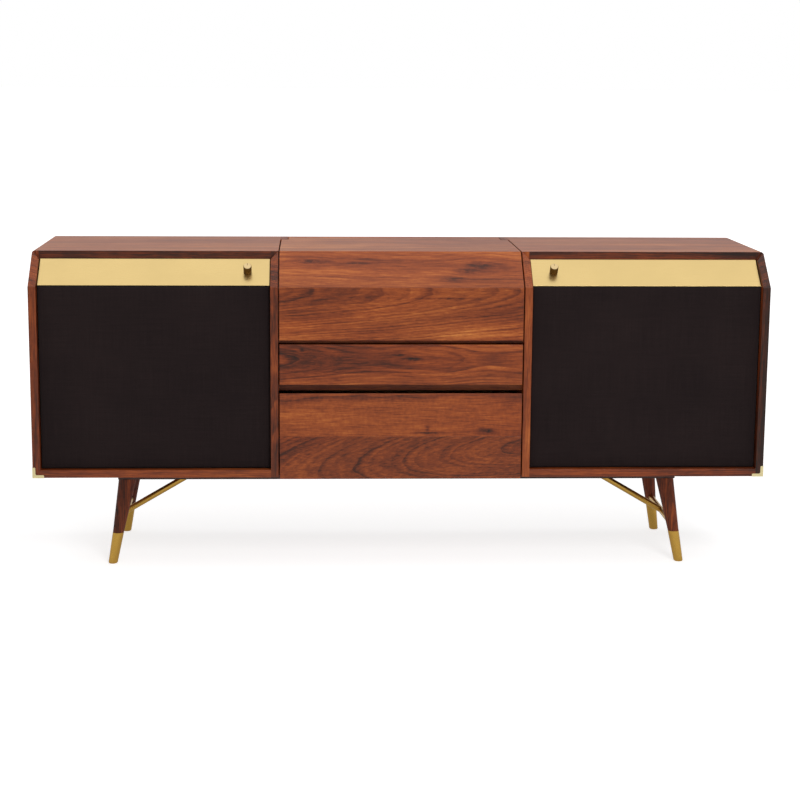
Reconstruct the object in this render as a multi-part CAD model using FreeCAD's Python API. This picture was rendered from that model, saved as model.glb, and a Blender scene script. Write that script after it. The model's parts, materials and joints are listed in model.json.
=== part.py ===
"""Record console: a walnut sideboard on splayed legs with a turntable under a lifting lid,
a speaker cabinet at each side and two drawers below the turntable.

Millimetres. +X is to the right, +Y runs from the front to the back, +Z is up.
The origin is on the floor, under the middle of the body. Depths are counted back
from the front plane of the wood, and turned into Y by the helpers.
"""
import FreeCAD
import Part
import os
from math import atan2, cos, degrees, hypot, pi, radians, sin

Vec = FreeCAD.Vector
UP = Vec(0, 0, 1)
OUTPUT = "parts"

# ---------------------------------------------------------------- driving dimensions
WIDTH = 1820.0                  # over both cabinets
DEPTH = 486.0                   # front plane to back edge
HEIGHT = 808.0                  # floor to top
BODY_BOTTOM = 254.0             # floor to the underside of the body
CREASE_Z = 728.5                # where the sloping front meets the upright front
SLOPE_DEPTH = 92.0              # how far back the slope reaches the top
BOARD = 19.0                    # thickness of every case board
BAY_HALF = 303.0                # half of the centre bay's clear width
FRONT_GAP = 3.0                 # joint beside the lid and the drawer fronts
FRONT_Y = -DEPTH / 2
HALF = WIDTH / 2
FRONT_HALF = BAY_HALF - FRONT_GAP

SLOPE_ANGLE = atan2(HEIGHT - CREASE_Z, SLOPE_DEPTH)
SLOPE_RISE = (HEIGHT - CREASE_Z) / SLOPE_DEPTH

BACK_THICK = 8.0
BACK_DEPTH = 470.0              # front face of the back panels
INNER_BOTTOM = BODY_BOTTOM + BOARD
INNER_TOP = HEIGHT - BOARD
CAB_OUTER = HALF - BOARD        # inner face of an outer side
CAB_INNER = BAY_HALF + BOARD    # outer-facing face of an inner side

LID_BOTTOM = 597.5
SHELF_TOP = 607.0
UPPER_FRONT = (487.2, 587.2)    # heights of the upper drawer front
LOWER_FRONT = (250.0, 465.4)    # heights of the lower drawer front
LOWER_SEAM = 357.0              # glue line between the lower front's two boards

HINGE_DEPTH = 461.5
HINGE_Z = 805.5
LID_REAR = 459.0
NOTCH_HALF = 284.0              # half width between the rear corner blocks
NOTCH_DEPTH = 400.0
LID_SWING = 75.0                # degrees from shut to open


# ---------------------------------------------------------------- helpers
def at(x, depth, z):
    """A point from its depth behind the front plane."""
    return Vec(x, FRONT_Y + depth, z)


def box(xs, depths, zs):
    size = (xs[1] - xs[0], depths[1] - depths[0], zs[1] - zs[0])
    return Part.makeBox(*size, at(xs[0], depths[0], zs[0]))


def prism(outline, xs):
    """A side outline of (depth, height) points carried from one x to another."""
    points = [at(xs[0], depth, z) for depth, z in outline]
    face = Part.Face(Part.makePolygon(points + points[:1]))
    return face.extrude(Vec(xs[1] - xs[0], 0, 0))


def front_prism(outline, depths):
    """A front outline of (x, z) points carried from one depth to another."""
    points = [at(x, depths[0], z) for x, z in outline]
    face = Part.Face(Part.makePolygon(points + points[:1]))
    return face.extrude(Vec(0, depths[1] - depths[0], 0))


def bar(start, end, radius):
    run = end - start
    return Part.makeCylinder(radius, run.Length, start, run)


def disc(x, depth, zs, radius):
    return bar(at(x, depth, zs[0]), at(x, depth, zs[1]), radius)


def taper(start, end, radius_start, radius_end):
    run = end - start
    return Part.makeCone(radius_start, radius_end, run.Length, start, run)


def turned(outline, base, direction):
    """A profile of (radius, height) points turned about an axis."""
    points = [Vec(radius, 0, height) for radius, height in outline]
    solid = Part.Face(Part.makePolygon(points + points[:1])).revolve(Vec(0, 0, 0), UP, 360)
    solid.Placement = FreeCAD.Placement(base, FreeCAD.Rotation(UP, direction))
    return solid


def mirrored(shape):
    return shape.mirror(Vec(0, 0, 0), Vec(1, 0, 0))


def pair(shape):
    """The shape and its twin on the other side."""
    return [shape, mirrored(shape)]


def fused(shapes):
    return shapes[0].multiFuse(shapes[1:]).removeSplitter()


def soften(shape, radius, wanted):
    """Rounds the edges whose middle point passes the test."""
    edges = [edge for edge in shape.Edges if wanted(edge.valueAt(
        (edge.FirstParameter + edge.LastParameter) / 2), edge)]
    return shape.makeFillet(radius, edges) if edges else shape


def near(value, target):
    return abs(value - target) < 0.01


def save(name, shapes):
    shape = shapes[0] if len(shapes) == 1 else Part.makeCompound(shapes)
    shape.exportStep(os.path.join(OUTPUT, name + ".step"))


def slope_z(depth, below=0.0):
    """Height of a line parallel to the slope, a square distance below it."""
    return CREASE_Z + SLOPE_RISE * depth - below / cos(SLOPE_ANGLE)


def slope_depth(z, below=0.0):
    return (z - CREASE_Z + below / cos(SLOPE_ANGLE)) / SLOPE_RISE


# ---------------------------------------------------------------- speaker cabinets
ARRIS = 1.2                     # rounding of the wood's sharp edges
OUTER_ROUND = 6.0               # rounding along the cabinets' outer top corners
SIDE_OUTLINE = [(0, BODY_BOTTOM), (0, CREASE_Z), (SLOPE_DEPTH, HEIGHT),
                (DEPTH, HEIGHT), (DEPTH, BODY_BOTTOM)]


def mitre(outer_x, inner_x, outer_z, inner_z):
    """The wedge that a mitred corner takes off an upright board's end."""
    outline = [(outer_x, outer_z), (inner_x, inner_z), (inner_x, outer_z)]
    return front_prism(outline, (-5, DEPTH + 5))


def upright(outer_x, inner_x):
    """A side board whose ends are mitred into the top and the bottom board."""
    board = prism(SIDE_OUTLINE, sorted((outer_x, inner_x)))
    board = board.cut(mitre(outer_x, inner_x, HEIGHT, INNER_TOP))
    return board.cut(mitre(outer_x, inner_x, BODY_BOTTOM, INNER_BOTTOM))


def round_outer_corner(board):
    """Rounds the long outer top corner of a right-hand cabinet board."""
    block = box((HALF - OUTER_ROUND, HALF + 1), (-1, DEPTH + 1), (HEIGHT - OUTER_ROUND, HEIGHT + 1))
    centre_x, centre_z = HALF - OUTER_ROUND, HEIGHT - OUTER_ROUND
    post = bar(at(centre_x, -2, centre_z), at(centre_x, DEPTH + 2, centre_z), OUTER_ROUND)
    return board.cut(block.cut(post))


def is_front_upright(point, edge):
    """The long front arrises of an upright board."""
    on_front = near(point.y, FRONT_Y)
    on_slope = near(point.z, slope_z(point.y - FRONT_Y)) and 0 < point.y - FRONT_Y < SLOPE_DEPTH
    return edge.Length > 60 and (on_front or on_slope)


def outer_side_panels():
    board = soften(upright(HALF, CAB_OUTER), ARRIS, is_front_upright)
    save("outer_side_panels", pair(round_outer_corner(board)))


def inner_side_panels():
    board = soften(upright(BAY_HALF, CAB_INNER), ARRIS, is_front_upright)
    save("inner_side_panels", pair(board))


def top_boards():
    outline = [(BAY_HALF, HEIGHT), (HALF, HEIGHT), (CAB_OUTER, INNER_TOP), (CAB_INNER, INNER_TOP)]
    board = front_prism(outline, (SLOPE_DEPTH, DEPTH))
    save("top_boards", pair(round_outer_corner(board)))


def bottom_boards():
    outline = [(BAY_HALF, BODY_BOTTOM), (HALF, BODY_BOTTOM), (CAB_OUTER, INNER_BOTTOM),
               (CAB_INNER, INNER_BOTTOM)]
    board = front_prism(outline, (0, DEPTH))
    floor = box((-BAY_HALF, BAY_HALF), (BOARD + 2, BACK_DEPTH), (BODY_BOTTOM, INNER_BOTTOM))
    save("bottom_boards", pair(board) + [floor])


VENT = (5.0, 44.0)              # width and height of one cooling slot
VENT_PITCH = 16.0
VENT_COUNT = 9
PLATE_X = (-760.0, -580.0)      # the socket plate in the left back
PLATE_Z = (704.0, 776.0)


def back_panels():
    depths = (BACK_DEPTH, BACK_DEPTH + BACK_THICK)
    right = box((CAB_INNER, CAB_OUTER), depths, (INNER_BOTTOM, INNER_TOP))
    left = mirrored(right)
    first = PLATE_X[0] + 26
    for index in range(VENT_COUNT):
        x = first + index * VENT_PITCH
        low = PLATE_Z[0] - 30 - VENT[1]
        left = left.cut(box((x, x + VENT[0]), (BACK_DEPTH - 1, DEPTH), (low, low + VENT[1])))
    window = box((PLATE_X[0] + 8, PLATE_X[1] - 8), (BACK_DEPTH - 1, DEPTH),
                 (PLATE_Z[0] + 8, PLATE_Z[1] - 8))
    centre = box((-BAY_HALF, BAY_HALF), depths, (BODY_BOTTOM, RAIL_BOTTOM))
    save("back_panels", [right, left.cut(window), centre])


# ---------------------------------------------------------------- centre bay
RAIL_BOTTOM = 768.0
LINER_GAP = 1.5                 # under the shut lid


def hinge_rail():
    rail = box((-NOTCH_HALF, NOTCH_HALF), (HINGE_DEPTH + 2.5, DEPTH), (RAIL_BOTTOM, HEIGHT))
    save("hinge_rail", [rail])


def bay_liners():
    """Boards under the lid's edges, with a block that fills each rear notch of the lid."""
    under = BOARD + LINER_GAP
    top = INNER_TOP - LINER_GAP
    outline = [(under, SHELF_TOP), (under, slope_z(under, under)), (slope_depth(top, under), top),
               (BACK_DEPTH, top), (BACK_DEPTH, SHELF_TOP)]
    liner = prism(outline, (NOTCH_HALF, BAY_HALF))
    block = box((NOTCH_HALF, BAY_HALF), (NOTCH_DEPTH, DEPTH), (top, HEIGHT))
    tail = box((NOTCH_HALF, BAY_HALF), (BACK_DEPTH, DEPTH), (RAIL_BOTTOM, top))
    save("bay_liners", pair(liner) + pair(fused([block, tail])))


def bay_shelves():
    """The deck under the turntable and the dust board between the drawers."""
    deck = box((-BAY_HALF, BAY_HALF), (22, BACK_DEPTH), (SHELF_TOP - 18, SHELF_TOP))
    dust_board = box((-BAY_HALF, BAY_HALF), (34, BACK_DEPTH), (468, 484))
    save("bay_shelves", [deck, dust_board])


# ---------------------------------------------------------------- underframe
RAIL_HEIGHT = 34.0
RAIL_WIDTH = 40.0
FRAME_BOTTOM = BODY_BOTTOM - RAIL_HEIGHT
FOOT_X = (731.5, 728.5)         # front and rear
FOOT_DEPTHS = (133.0, 467.0)
LEAN_X = (0.183, 0.145)         # inward per unit of height, front and rear
LEAN_Y = 0.08                   # towards the middle, front to back
FERRULE_TOP = 80.0
FOOT_RADIUS = 11.6
FERRULE_RADIUS = 14.2
LEG_RADIUS = 22.5
ROD_RADIUS = 7.8
ROD_Z = 95.0
BRACE_TOP_X = 442.0


def leg_axis(z, row):
    """Centre of the right front leg (row 0) or right rear leg (row 1) at a height."""
    lean = LEAN_Y if row == 0 else -LEAN_Y
    return at(FOOT_X[row] - LEAN_X[row] * z, FOOT_DEPTHS[row] + lean * z, z)


def leg_cone(row, low, high, radius_low, radius_high):
    """A round taper on the leg's axis, cut level at both ends."""
    reach = 12.0
    slope = (radius_high - radius_low) / (high - low)
    cone = taper(leg_axis(low - reach, row), leg_axis(high + reach, row),
                 radius_low - slope * reach, radius_high + slope * reach)
    return cone.common(Part.makeBox(2000, 2000, high - low, Vec(-1000, -1000, low)))


def leg(row):
    """The turned leg with the tenon that its brass foot slips over."""
    shaft = leg_cone(row, FERRULE_TOP, FRAME_BOTTOM, FERRULE_RADIUS - 0.4, LEG_RADIUS)
    tenon = leg_cone(row, 20.0, FERRULE_TOP, FOOT_RADIUS - 1.2, FERRULE_RADIUS - 1.4)
    return fused([shaft, tenon])


def ferrule(row):
    shell = leg_cone(row, 0, FERRULE_TOP, FOOT_RADIUS, FERRULE_RADIUS)
    return shell.cut(leg_cone(row, 20.0, FERRULE_TOP, FOOT_RADIUS - 1.2, FERRULE_RADIUS - 1.4))


def legs():
    save("legs", pair(leg(0)) + pair(leg(1)))


def leg_ferrules():
    save("leg_ferrules", pair(ferrule(0)) + pair(ferrule(1)))


def leg_braces():
    """On each side a rod from leg to leg, with a rod rising from it to the body."""
    cross = bar(leg_axis(ROD_Z, 0), leg_axis(ROD_Z, 1), ROD_RADIUS)
    cross = cross.cut(leg(0)).cut(leg(1))
    middle = (leg_axis(ROD_Z, 0) + leg_axis(ROD_Z, 1)) * 0.5
    top = Vec(BRACE_TOP_X, middle.y, BODY_BOTTOM)
    over = top + (top - middle).normalize() * 20
    rod = bar(middle, over, ROD_RADIUS)
    rod = rod.common(Part.makeBox(2000, 2000, BODY_BOTTOM, Vec(-1000, -1000, 0)))
    depth = middle.y - FRONT_Y
    plate = box((top.x - 34, top.x + 24), (depth - 16, depth + 16), (BODY_BOTTOM - 3, BODY_BOTTOM))
    save("leg_braces", pair(fused([cross, rod, plate])))


def base_rails():
    """The tube frame that the legs screw into."""
    tops = [leg_axis(FRAME_BOTTOM, row).x for row in (0, 1)]
    reach = sum(tops) / 2 + RAIL_WIDTH / 2
    zs = (FRAME_BOTTOM, BODY_BOTTOM)
    solids = []
    ends = []
    for row in (0, 1):
        middle = leg_axis(FRAME_BOTTOM, row).y - FRONT_Y
        depths = (middle - RAIL_WIDTH / 2, middle + RAIL_WIDTH / 2)
        ends.append(depths)
        solids.append(hollow_bar((-reach, reach), depths, zs, 0))
    between = (ends[0][1], ends[1][0])
    side = hollow_bar((reach - RAIL_WIDTH, reach), between, zs, 1)
    save("base_rails", solids + pair(side))


def hollow_bar(xs, depths, zs, along):
    """A rectangular steel tube with closed ends, 2 mm in the wall."""
    wall = 2.0
    outer = box(xs, depths, zs)
    inner = [[low + wall, high - wall] for low, high in (xs, depths, zs)]
    return outer.cut(box(*inner))


CAP_X = 28.0
CAP_Z = 26.0
CAP_BAND = 7.0
CAP_PROUD = 0.6


def corner_caps():
    """Thin brass angles that wrap the bottom outer front corners."""
    low, high = BODY_BOTTOM - CAP_PROUD, BODY_BOTTOM + CAP_Z
    left, right = HALF - CAP_X, HALF + CAP_PROUD
    outline = [(left, low), (right, low), (right, high), (HALF - CAP_BAND, high),
               (HALF - CAP_BAND, BODY_BOTTOM + CAP_BAND), (left, BODY_BOTTOM + CAP_BAND)]
    shell = front_prism(outline, (-CAP_PROUD, CAP_BAND))
    inner_corner = Vec(HALF - CAP_BAND, 0, BODY_BOTTOM + CAP_BAND)
    shell = soften(shell, 4.0, lambda point, edge: near(point.x, inner_corner.x)
                   and near(point.z, inner_corner.z))
    shell = soften(shell, 2.6, lambda point, edge: near(point.y, FRONT_Y + (CAP_BAND - CAP_PROUD) / 2)
                   and (near(point.x, left) or near(point.z, high))
                   and not near(point.x, right) and not near(point.z, low))
    body = box((0, HALF), (0, DEPTH), (BODY_BOTTOM, HEIGHT))
    save("corner_caps", pair(shell.cut(body)))


# ---------------------------------------------------------------- fascias and their knobs
FASCIA_BELOW = 10.0             # set back square to the slope
FASCIA_LOW_Z = 731.0
FASCIA_THICK = 2.0
FASCIA_X = (CAB_INNER + 2.0, CAB_OUTER - 2.0)
KNOB_X = 378.0
KNOB_RADIUS = 10.0
KNOB_LENGTH = 23.0
KNOB_STAND_OFF = 0.5
SPINDLE_RADIUS = 3.0
RUNNING = 0.05                  # radial clearance of a pin in its hole

SLOPE_NORMAL = Vec(0, -sin(SLOPE_ANGLE), cos(SLOPE_ANGLE))
FASCIA_LOW = (slope_depth(FASCIA_LOW_Z, FASCIA_BELOW), FASCIA_LOW_Z)
FASCIA_HIGH = (slope_depth(INNER_TOP, FASCIA_BELOW), INNER_TOP)


def knob_base(side):
    depth = (FASCIA_LOW[0] + FASCIA_HIGH[0]) / 2
    return at(side * KNOB_X, depth, slope_z(depth, FASCIA_BELOW))


def control_fascias():
    """Bent brass strips with a flange at the top and at the bottom."""
    under = FASCIA_BELOW + FASCIA_THICK
    low, high = FASCIA_LOW_Z, INNER_TOP
    inner_low = low - 1.5
    outline = [FASCIA_LOW, FASCIA_HIGH, (FASCIA_HIGH[0] + 20, high),
               (FASCIA_HIGH[0] + 20, high - FASCIA_THICK),
               (slope_depth(high - FASCIA_THICK, under), high - FASCIA_THICK),
               (slope_depth(inner_low + FASCIA_THICK, under), inner_low + FASCIA_THICK),
               (BOARD + 14, inner_low + FASCIA_THICK), (BOARD + 14, inner_low),
               (slope_depth(inner_low, under), inner_low)]
    strip = prism(outline, FASCIA_X)
    base = knob_base(1)
    hole = bar(base - SLOPE_NORMAL * 10, base + SLOPE_NORMAL * 10, 4.6)
    save("control_fascias", pair(strip.cut(hole)))


def control_potentiometers():
    """A round pot behind each fascia, its bushing through the brass."""
    base = knob_base(1)
    seat = base - SLOPE_NORMAL * FASCIA_THICK
    can = bar(seat, seat - SLOPE_NORMAL * 18, 12.0)
    bushing = bar(seat, base, 4.5)
    bore = bar(seat - SLOPE_NORMAL * 12, base + SLOPE_NORMAL, SPINDLE_RADIUS + RUNNING)
    save("control_potentiometers", pair(fused([can, bushing]).cut(bore)))


def knob(side):
    base = knob_base(side)
    foot = base + SLOPE_NORMAL * KNOB_STAND_OFF
    body = bar(foot, foot + SLOPE_NORMAL * (KNOB_LENGTH - KNOB_STAND_OFF), KNOB_RADIUS)
    body = body.makeFillet(0.8, body.Edges[:1] + body.Edges[2:])
    spindle = bar(base - SLOPE_NORMAL * 12, foot + SLOPE_NORMAL, SPINDLE_RADIUS)
    return fused([body, spindle])


def knobs():
    save("volume_knob", [knob(-1)])
    save("source_knob", [knob(1)])


# ---------------------------------------------------------------- speakers
GRILLE_DEPTHS = (18.0, 30.0)
GRILLE_EDGE = 30.0
GRILLE_GAP = 2.0
CLOTH = 0.8
GRILLE_X = (CAB_INNER + GRILLE_GAP, CAB_OUTER - GRILLE_GAP)
GRILLE_Z = (INNER_BOTTOM + GRILLE_GAP, FASCIA_LOW_Z - 3.0)
BAFFLE_DEPTHS = (31.0, 49.0)
BAFFLE_TOP = FASCIA_LOW_Z - 2.0
SPEAKER_X = (CAB_INNER + CAB_OUTER) / 2
WOOFER_Z = 440.0
TWEETER_Z = 640.0
PEG_RADIUS = 4.0
PEG_INSET = 15.0


def grille_pegs():
    """Where the four pegs of the right grille stand."""
    xs = (GRILLE_X[0] + PEG_INSET + CLOTH, GRILLE_X[1] - PEG_INSET - CLOTH)
    zs = (GRILLE_Z[0] + PEG_INSET + CLOTH, GRILLE_Z[1] - PEG_INSET - CLOTH)
    return [(x, z) for x in xs for z in zs]


def grille_frame():
    """Four flat bars with a peg at each corner."""
    xs = (GRILLE_X[0] + CLOTH, GRILLE_X[1] - CLOTH)
    zs = (GRILLE_Z[0] + CLOTH, GRILLE_Z[1] - CLOTH)
    low = box(xs, GRILLE_DEPTHS, (zs[0], zs[0] + GRILLE_EDGE))
    high = box(xs, GRILLE_DEPTHS, (zs[1] - GRILLE_EDGE, zs[1]))
    middle = (zs[0] + GRILLE_EDGE, zs[1] - GRILLE_EDGE)
    near_bar = box((xs[0], xs[0] + GRILLE_EDGE), GRILLE_DEPTHS, middle)
    far_bar = box((xs[1] - GRILLE_EDGE, xs[1]), GRILLE_DEPTHS, middle)
    pegs = [bar(at(x, GRILLE_DEPTHS[1], z), at(x, GRILLE_DEPTHS[1] + 9, z), PEG_RADIUS)
            for x, z in grille_pegs()]
    low = fused([low] + [peg for peg, (x, z) in zip(pegs, grille_pegs()) if z < WOOFER_Z])
    high = fused([high] + [peg for peg, (x, z) in zip(pegs, grille_pegs()) if z > WOOFER_Z])
    return [low, high, near_bar, far_bar]


def grille_cloth():
    """The cloth stretched over the frame and turned back along its edges."""
    depths = (GRILLE_DEPTHS[0] - CLOTH, GRILLE_DEPTHS[1])
    outer = box(GRILLE_X, depths, GRILLE_Z)
    inner = box((GRILLE_X[0] + CLOTH, GRILLE_X[1] - CLOTH), (GRILLE_DEPTHS[0], DEPTH),
                (GRILLE_Z[0] + CLOTH, GRILLE_Z[1] - CLOTH))
    return outer.cut(inner)


def grilles():
    save("grille_frame_right", grille_frame())
    save("grille_frame_left", [mirrored(solid) for solid in grille_frame()])
    save("grille_cloth_right", [grille_cloth()])
    save("grille_cloth_left", [mirrored(grille_cloth())])


def speaker_baffles():
    baffle = box((CAB_INNER, CAB_OUTER), BAFFLE_DEPTHS, (INNER_BOTTOM, BAFFLE_TOP))
    for z, radius in ((WOOFER_Z, 104.0), (TWEETER_Z, 34.0)):
        baffle = baffle.cut(bar(at(SPEAKER_X, 0, z), at(SPEAKER_X, 100, z), radius))
    for x, z in grille_pegs():
        baffle = baffle.cut(bar(at(x, 20, z), at(x, BAFFLE_DEPTHS[0] + 12, z), PEG_RADIUS + RUNNING))
    save("speaker_baffles", pair(baffle))


def woofer_baskets():
    """Rim, tapering basket and magnet of each bass driver, open to the front."""
    outline = [(102, 0), (122, 0), (122, -4.5), (103.5, -4.5), (56, -62), (56, -68), (68, -68),
               (68, -92), (0, -92), (0, -66), (52, -66), (52, -60), (102, -2)]
    basket = turned([(r, z) for r, z in outline], at(SPEAKER_X, BAFFLE_DEPTHS[0] - 4.5, WOOFER_Z),
                    Vec(0, -1, 0))
    save("woofer_baskets", pair(basket))


def woofer_cones():
    """Paper cone with its surround and dust cap."""
    outline = [(100.8, -1.2), (96, 2.4), (90, -1.2), (34, -38), (24, -30), (12, -26), (0, -25),
               (0, -26.4), (12, -27.4), (23, -31.2), (33, -40), (90, -2.8), (96, 0.8), (100.8, -2.8)]
    cone = turned(outline, at(SPEAKER_X, BAFFLE_DEPTHS[0] - 4.5, WOOFER_Z), Vec(0, -1, 0))
    save("woofer_cones", pair(cone))


def tweeters():
    """Flange, dome and magnet of each treble driver."""
    outline = [(0, -34), (30, -34), (30, -4), (48, -4), (48, 0), (20, 0), (16, -3), (13, -1.5),
               (8, 3.0), (0, 5.0)]
    tweeter = turned(outline, at(SPEAKER_X, BAFFLE_DEPTHS[0] - 4, TWEETER_Z), Vec(0, -1, 0))
    save("tweeters", pair(tweeter))


# ---------------------------------------------------------------- amplifier
AMP_X = (-790.0, -550.0)
AMP_DEPTHS = (300.0, 469.0)
AMP_Z = (702.0, INNER_TOP)


def amplifier_case():
    """A steel case under the left top board, with its heat sink fins."""
    case = box(AMP_X, AMP_DEPTHS, AMP_Z)
    case = case.cut(box((AMP_X[0] + 1.5, AMP_X[1] - 1.5), (AMP_DEPTHS[0] + 1.5, AMP_DEPTHS[1] - 1.5),
                        (AMP_Z[0] + 1.5, AMP_Z[1] - 1.5)))
    fins = [box((AMP_X[1], AMP_X[1] + 22), (depth, depth + 2), (AMP_Z[0] + 6, AMP_Z[1] - 6))
            for depth in range(315, 455, 14)]
    save("amplifier_case", [fused([case] + fins)])


def terminal_plate():
    """The socket plate: a mains inlet, four loudspeaker posts and four phono sockets."""
    face = BACK_DEPTH + BACK_THICK
    plate = box(PLATE_X, (face, face + 2), PLATE_Z)
    middle_z = (PLATE_Z[0] + PLATE_Z[1]) / 2
    inlet = box((PLATE_X[1] - 44, PLATE_X[1] - 16), (face, face + 6.0), (middle_z - 10, middle_z + 10))
    mouth = box((PLATE_X[1] - 41, PLATE_X[1] - 19), (face + 1, DEPTH), (middle_z - 7, middle_z + 7))
    sockets = []
    for column in range(4):
        x = PLATE_X[0] + 26 + column * 24
        for z in (middle_z - 15, middle_z + 15):
            radius = 4.2 if column > 1 else 7.0
            sockets.append(bar(at(x, face, z), at(x, face + 7.4, z), radius))
    solid = fused([plate, inlet] + sockets).cut(mouth)
    blades = [bar(at(PLATE_X[1] - 30 + side * 4.3, face + 1, middle_z),
                  at(PLATE_X[1] - 30 + side * 4.3, face + 5.4, middle_z), 1.2) for side in (-1, 1)]
    save("terminal_plate", [fused([solid] + blades)])


# ---------------------------------------------------------------- lid and its hinge
def lid_boards():
    """Three boards mitred along the two creases of the lid."""
    xs = (-FRONT_HALF, FRONT_HALF)
    inner_crease = (BOARD, slope_z(BOARD, BOARD))
    inner_top = (slope_depth(INNER_TOP, BOARD), INNER_TOP)
    front = prism([(0, LID_BOTTOM), (0, CREASE_Z), inner_crease, (BOARD, LID_BOTTOM)], xs)
    front = soften(front, ARRIS, lambda point, edge: near(point.z, LID_BOTTOM) and edge.Length > 100)
    slope = prism([(0, CREASE_Z), (SLOPE_DEPTH, HEIGHT), inner_top, inner_crease], xs)
    top = prism([(SLOPE_DEPTH, HEIGHT), (LID_REAR, HEIGHT), (LID_REAR, INNER_TOP), inner_top], xs)
    for side in (-1, 1):
        notch = sorted((side * (NOTCH_HALF - 2), side * (FRONT_HALF + 5)))
        top = top.cut(box(notch, (NOTCH_DEPTH - 2, DEPTH), (INNER_TOP - 1, HEIGHT + 1)))
    save("lid_front_board", [front])
    save("lid_slope_board", [slope])
    save("lid_top_board", [top])


KNUCKLE_RADIUS = 2.0
PIN_RADIUS = 1.0
HINGE_HALF = 270.0
KNUCKLE_PITCH = 30.0
LEAF_TOP = HINGE_Z - 2.3        # leaves stop short of the other leaf's knuckles


def hinge_leaf(first, leaf_depths, leaf_low, bore):
    """One leaf of the piano hinge with every second knuckle."""
    leaf = box((-HINGE_HALF, HINGE_HALF), leaf_depths, (leaf_low, LEAF_TOP))
    solids = [leaf]
    for index in range(first, int(2 * HINGE_HALF / KNUCKLE_PITCH), 2):
        low = -HINGE_HALF + index * KNUCKLE_PITCH + 0.2
        high = low + KNUCKLE_PITCH - 0.4
        solids.append(bar(at(low, HINGE_DEPTH, HINGE_Z), at(high, HINGE_DEPTH, HINGE_Z),
                          KNUCKLE_RADIUS))
        solids.append(box((low, high), leaf_depths, (LEAF_TOP - 0.5, HINGE_Z)))
    hole = bar(at(-HINGE_HALF - 1, HINGE_DEPTH, HINGE_Z), at(HINGE_HALF + 1, HINGE_DEPTH, HINGE_Z), bore)
    return fused(solids).cut(hole)


def lid_hinge():
    half_gap = 2.5
    fixed = hinge_leaf(0, (HINGE_DEPTH + half_gap - 1, HINGE_DEPTH + half_gap), 780, PIN_RADIUS)
    moving = hinge_leaf(1, (HINGE_DEPTH - half_gap, HINGE_DEPTH - half_gap + 1), INNER_TOP + 1,
                        PIN_RADIUS + RUNNING)
    pin = bar(at(-HINGE_HALF, HINGE_DEPTH, HINGE_Z), at(HINGE_HALF, HINGE_DEPTH, HINGE_Z), PIN_RADIUS)
    save("hinge_fixed_leaf", [fixed])
    save("hinge_lid_leaf", [moving])
    save("hinge_pin", [pin])


# Both strut pivots stand at one distance from the hinge, so the strut turns half as far as the lid.
STRUT_REACH = 170.0
STRUT_TOP_ANGLE = 8.0           # below the shut lid, at the hinge
STRUT_LOW_ANGLE = 83.0
STRUT_X = 272.0
STUD_RADIUS = 3.0
EYE_HALF = 6.0


def strut_pivot(angle, x=STRUT_X):
    return at(x, HINGE_DEPTH - STRUT_REACH * cos(radians(angle)),
              HINGE_Z - STRUT_REACH * sin(radians(angle)))


STRUT_LOW = strut_pivot(STRUT_LOW_ANGLE)
STRUT_HIGH = strut_pivot(STRUT_TOP_ANGLE)
STRUT_LENGTH = (STRUT_HIGH - STRUT_LOW).Length
STRUT_LINE = (STRUT_HIGH - STRUT_LOW).normalize()
TUBE_RADIUS = 8.5
TUBE_END = 180.0
ROD_START = 39.0
STRUT_ROD_RADIUS = 4.0


def on_strut(distance):
    return STRUT_LOW + STRUT_LINE * distance


def stud(centre, plate_x):
    """A headed stud through a strut's eye."""
    across = Vec(1, 0, 0)
    pin = bar(centre - across * (EYE_HALF + 2.5), Vec(plate_x, centre.y, centre.z), STUD_RADIUS)
    head = bar(centre - across * (EYE_HALF + 2.5), centre - across * (EYE_HALF + 0.5), 5.0)
    return [pin, head]


def eye(centre, radius):
    across = Vec(EYE_HALF, 0, 0)
    return bar(centre - across, centre + across, radius)


def eye_hole(centre):
    across = Vec(EYE_HALF + 4, 0, 0)
    return bar(centre - across, centre + across, STUD_RADIUS + RUNNING)


def lid_struts():
    """Gas struts: a tube on the case and a rod with its piston on the lid."""
    tube = fused([eye(STRUT_LOW, 7.0), bar(on_strut(5), on_strut(TUBE_END), TUBE_RADIUS)])
    tube = tube.cut(bar(on_strut(30), on_strut(TUBE_END - 8), 6.5))
    tube = tube.cut(bar(on_strut(TUBE_END - 9), on_strut(TUBE_END + 1), STRUT_ROD_RADIUS + 0.3))
    tube = tube.cut(eye_hole(STRUT_LOW))
    rod = fused([bar(on_strut(ROD_START), on_strut(STRUT_LENGTH - 4), STRUT_ROD_RADIUS),
                 bar(on_strut(ROD_START), on_strut(ROD_START + 8), 6.2), eye(STRUT_HIGH, 6.4)])
    rod = rod.cut(eye_hole(STRUT_HIGH))
    save("strut_tubes", pair(tube))
    save("strut_rods", pair(rod))
    low_depth = STRUT_LOW.y - FRONT_Y
    plate = box((NOTCH_HALF - 2.5, NOTCH_HALF), (low_depth - 18, low_depth + 18),
                (STRUT_LOW.z - 14, STRUT_LOW.z + 14))
    save("strut_carcass_brackets", pair(fused([plate] + stud(STRUT_LOW, NOTCH_HALF - 1))))
    high_depth = STRUT_HIGH.y - FRONT_Y
    tab = box((NOTCH_HALF - 5, NOTCH_HALF - 1), (high_depth - 20, high_depth + 22),
              (STRUT_HIGH.z - 6, INNER_TOP))
    save("strut_lid_brackets", pair(fused([tab] + stud(STRUT_HIGH, NOTCH_HALF - 3))))


# ---------------------------------------------------------------- drawers
DRAWER_HALF = 283.0             # half width over a drawer box
DRAWER_SIDE = 12.0
DRAWER_BASE = 6.0
CHANNEL_HALF = 21.0             # half height of a slide's outer channel
SLIDE_HALF = 18.5               # half height of the bar that runs in it
SLIDE_DEPTHS = (24.0, 440.0)


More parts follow.
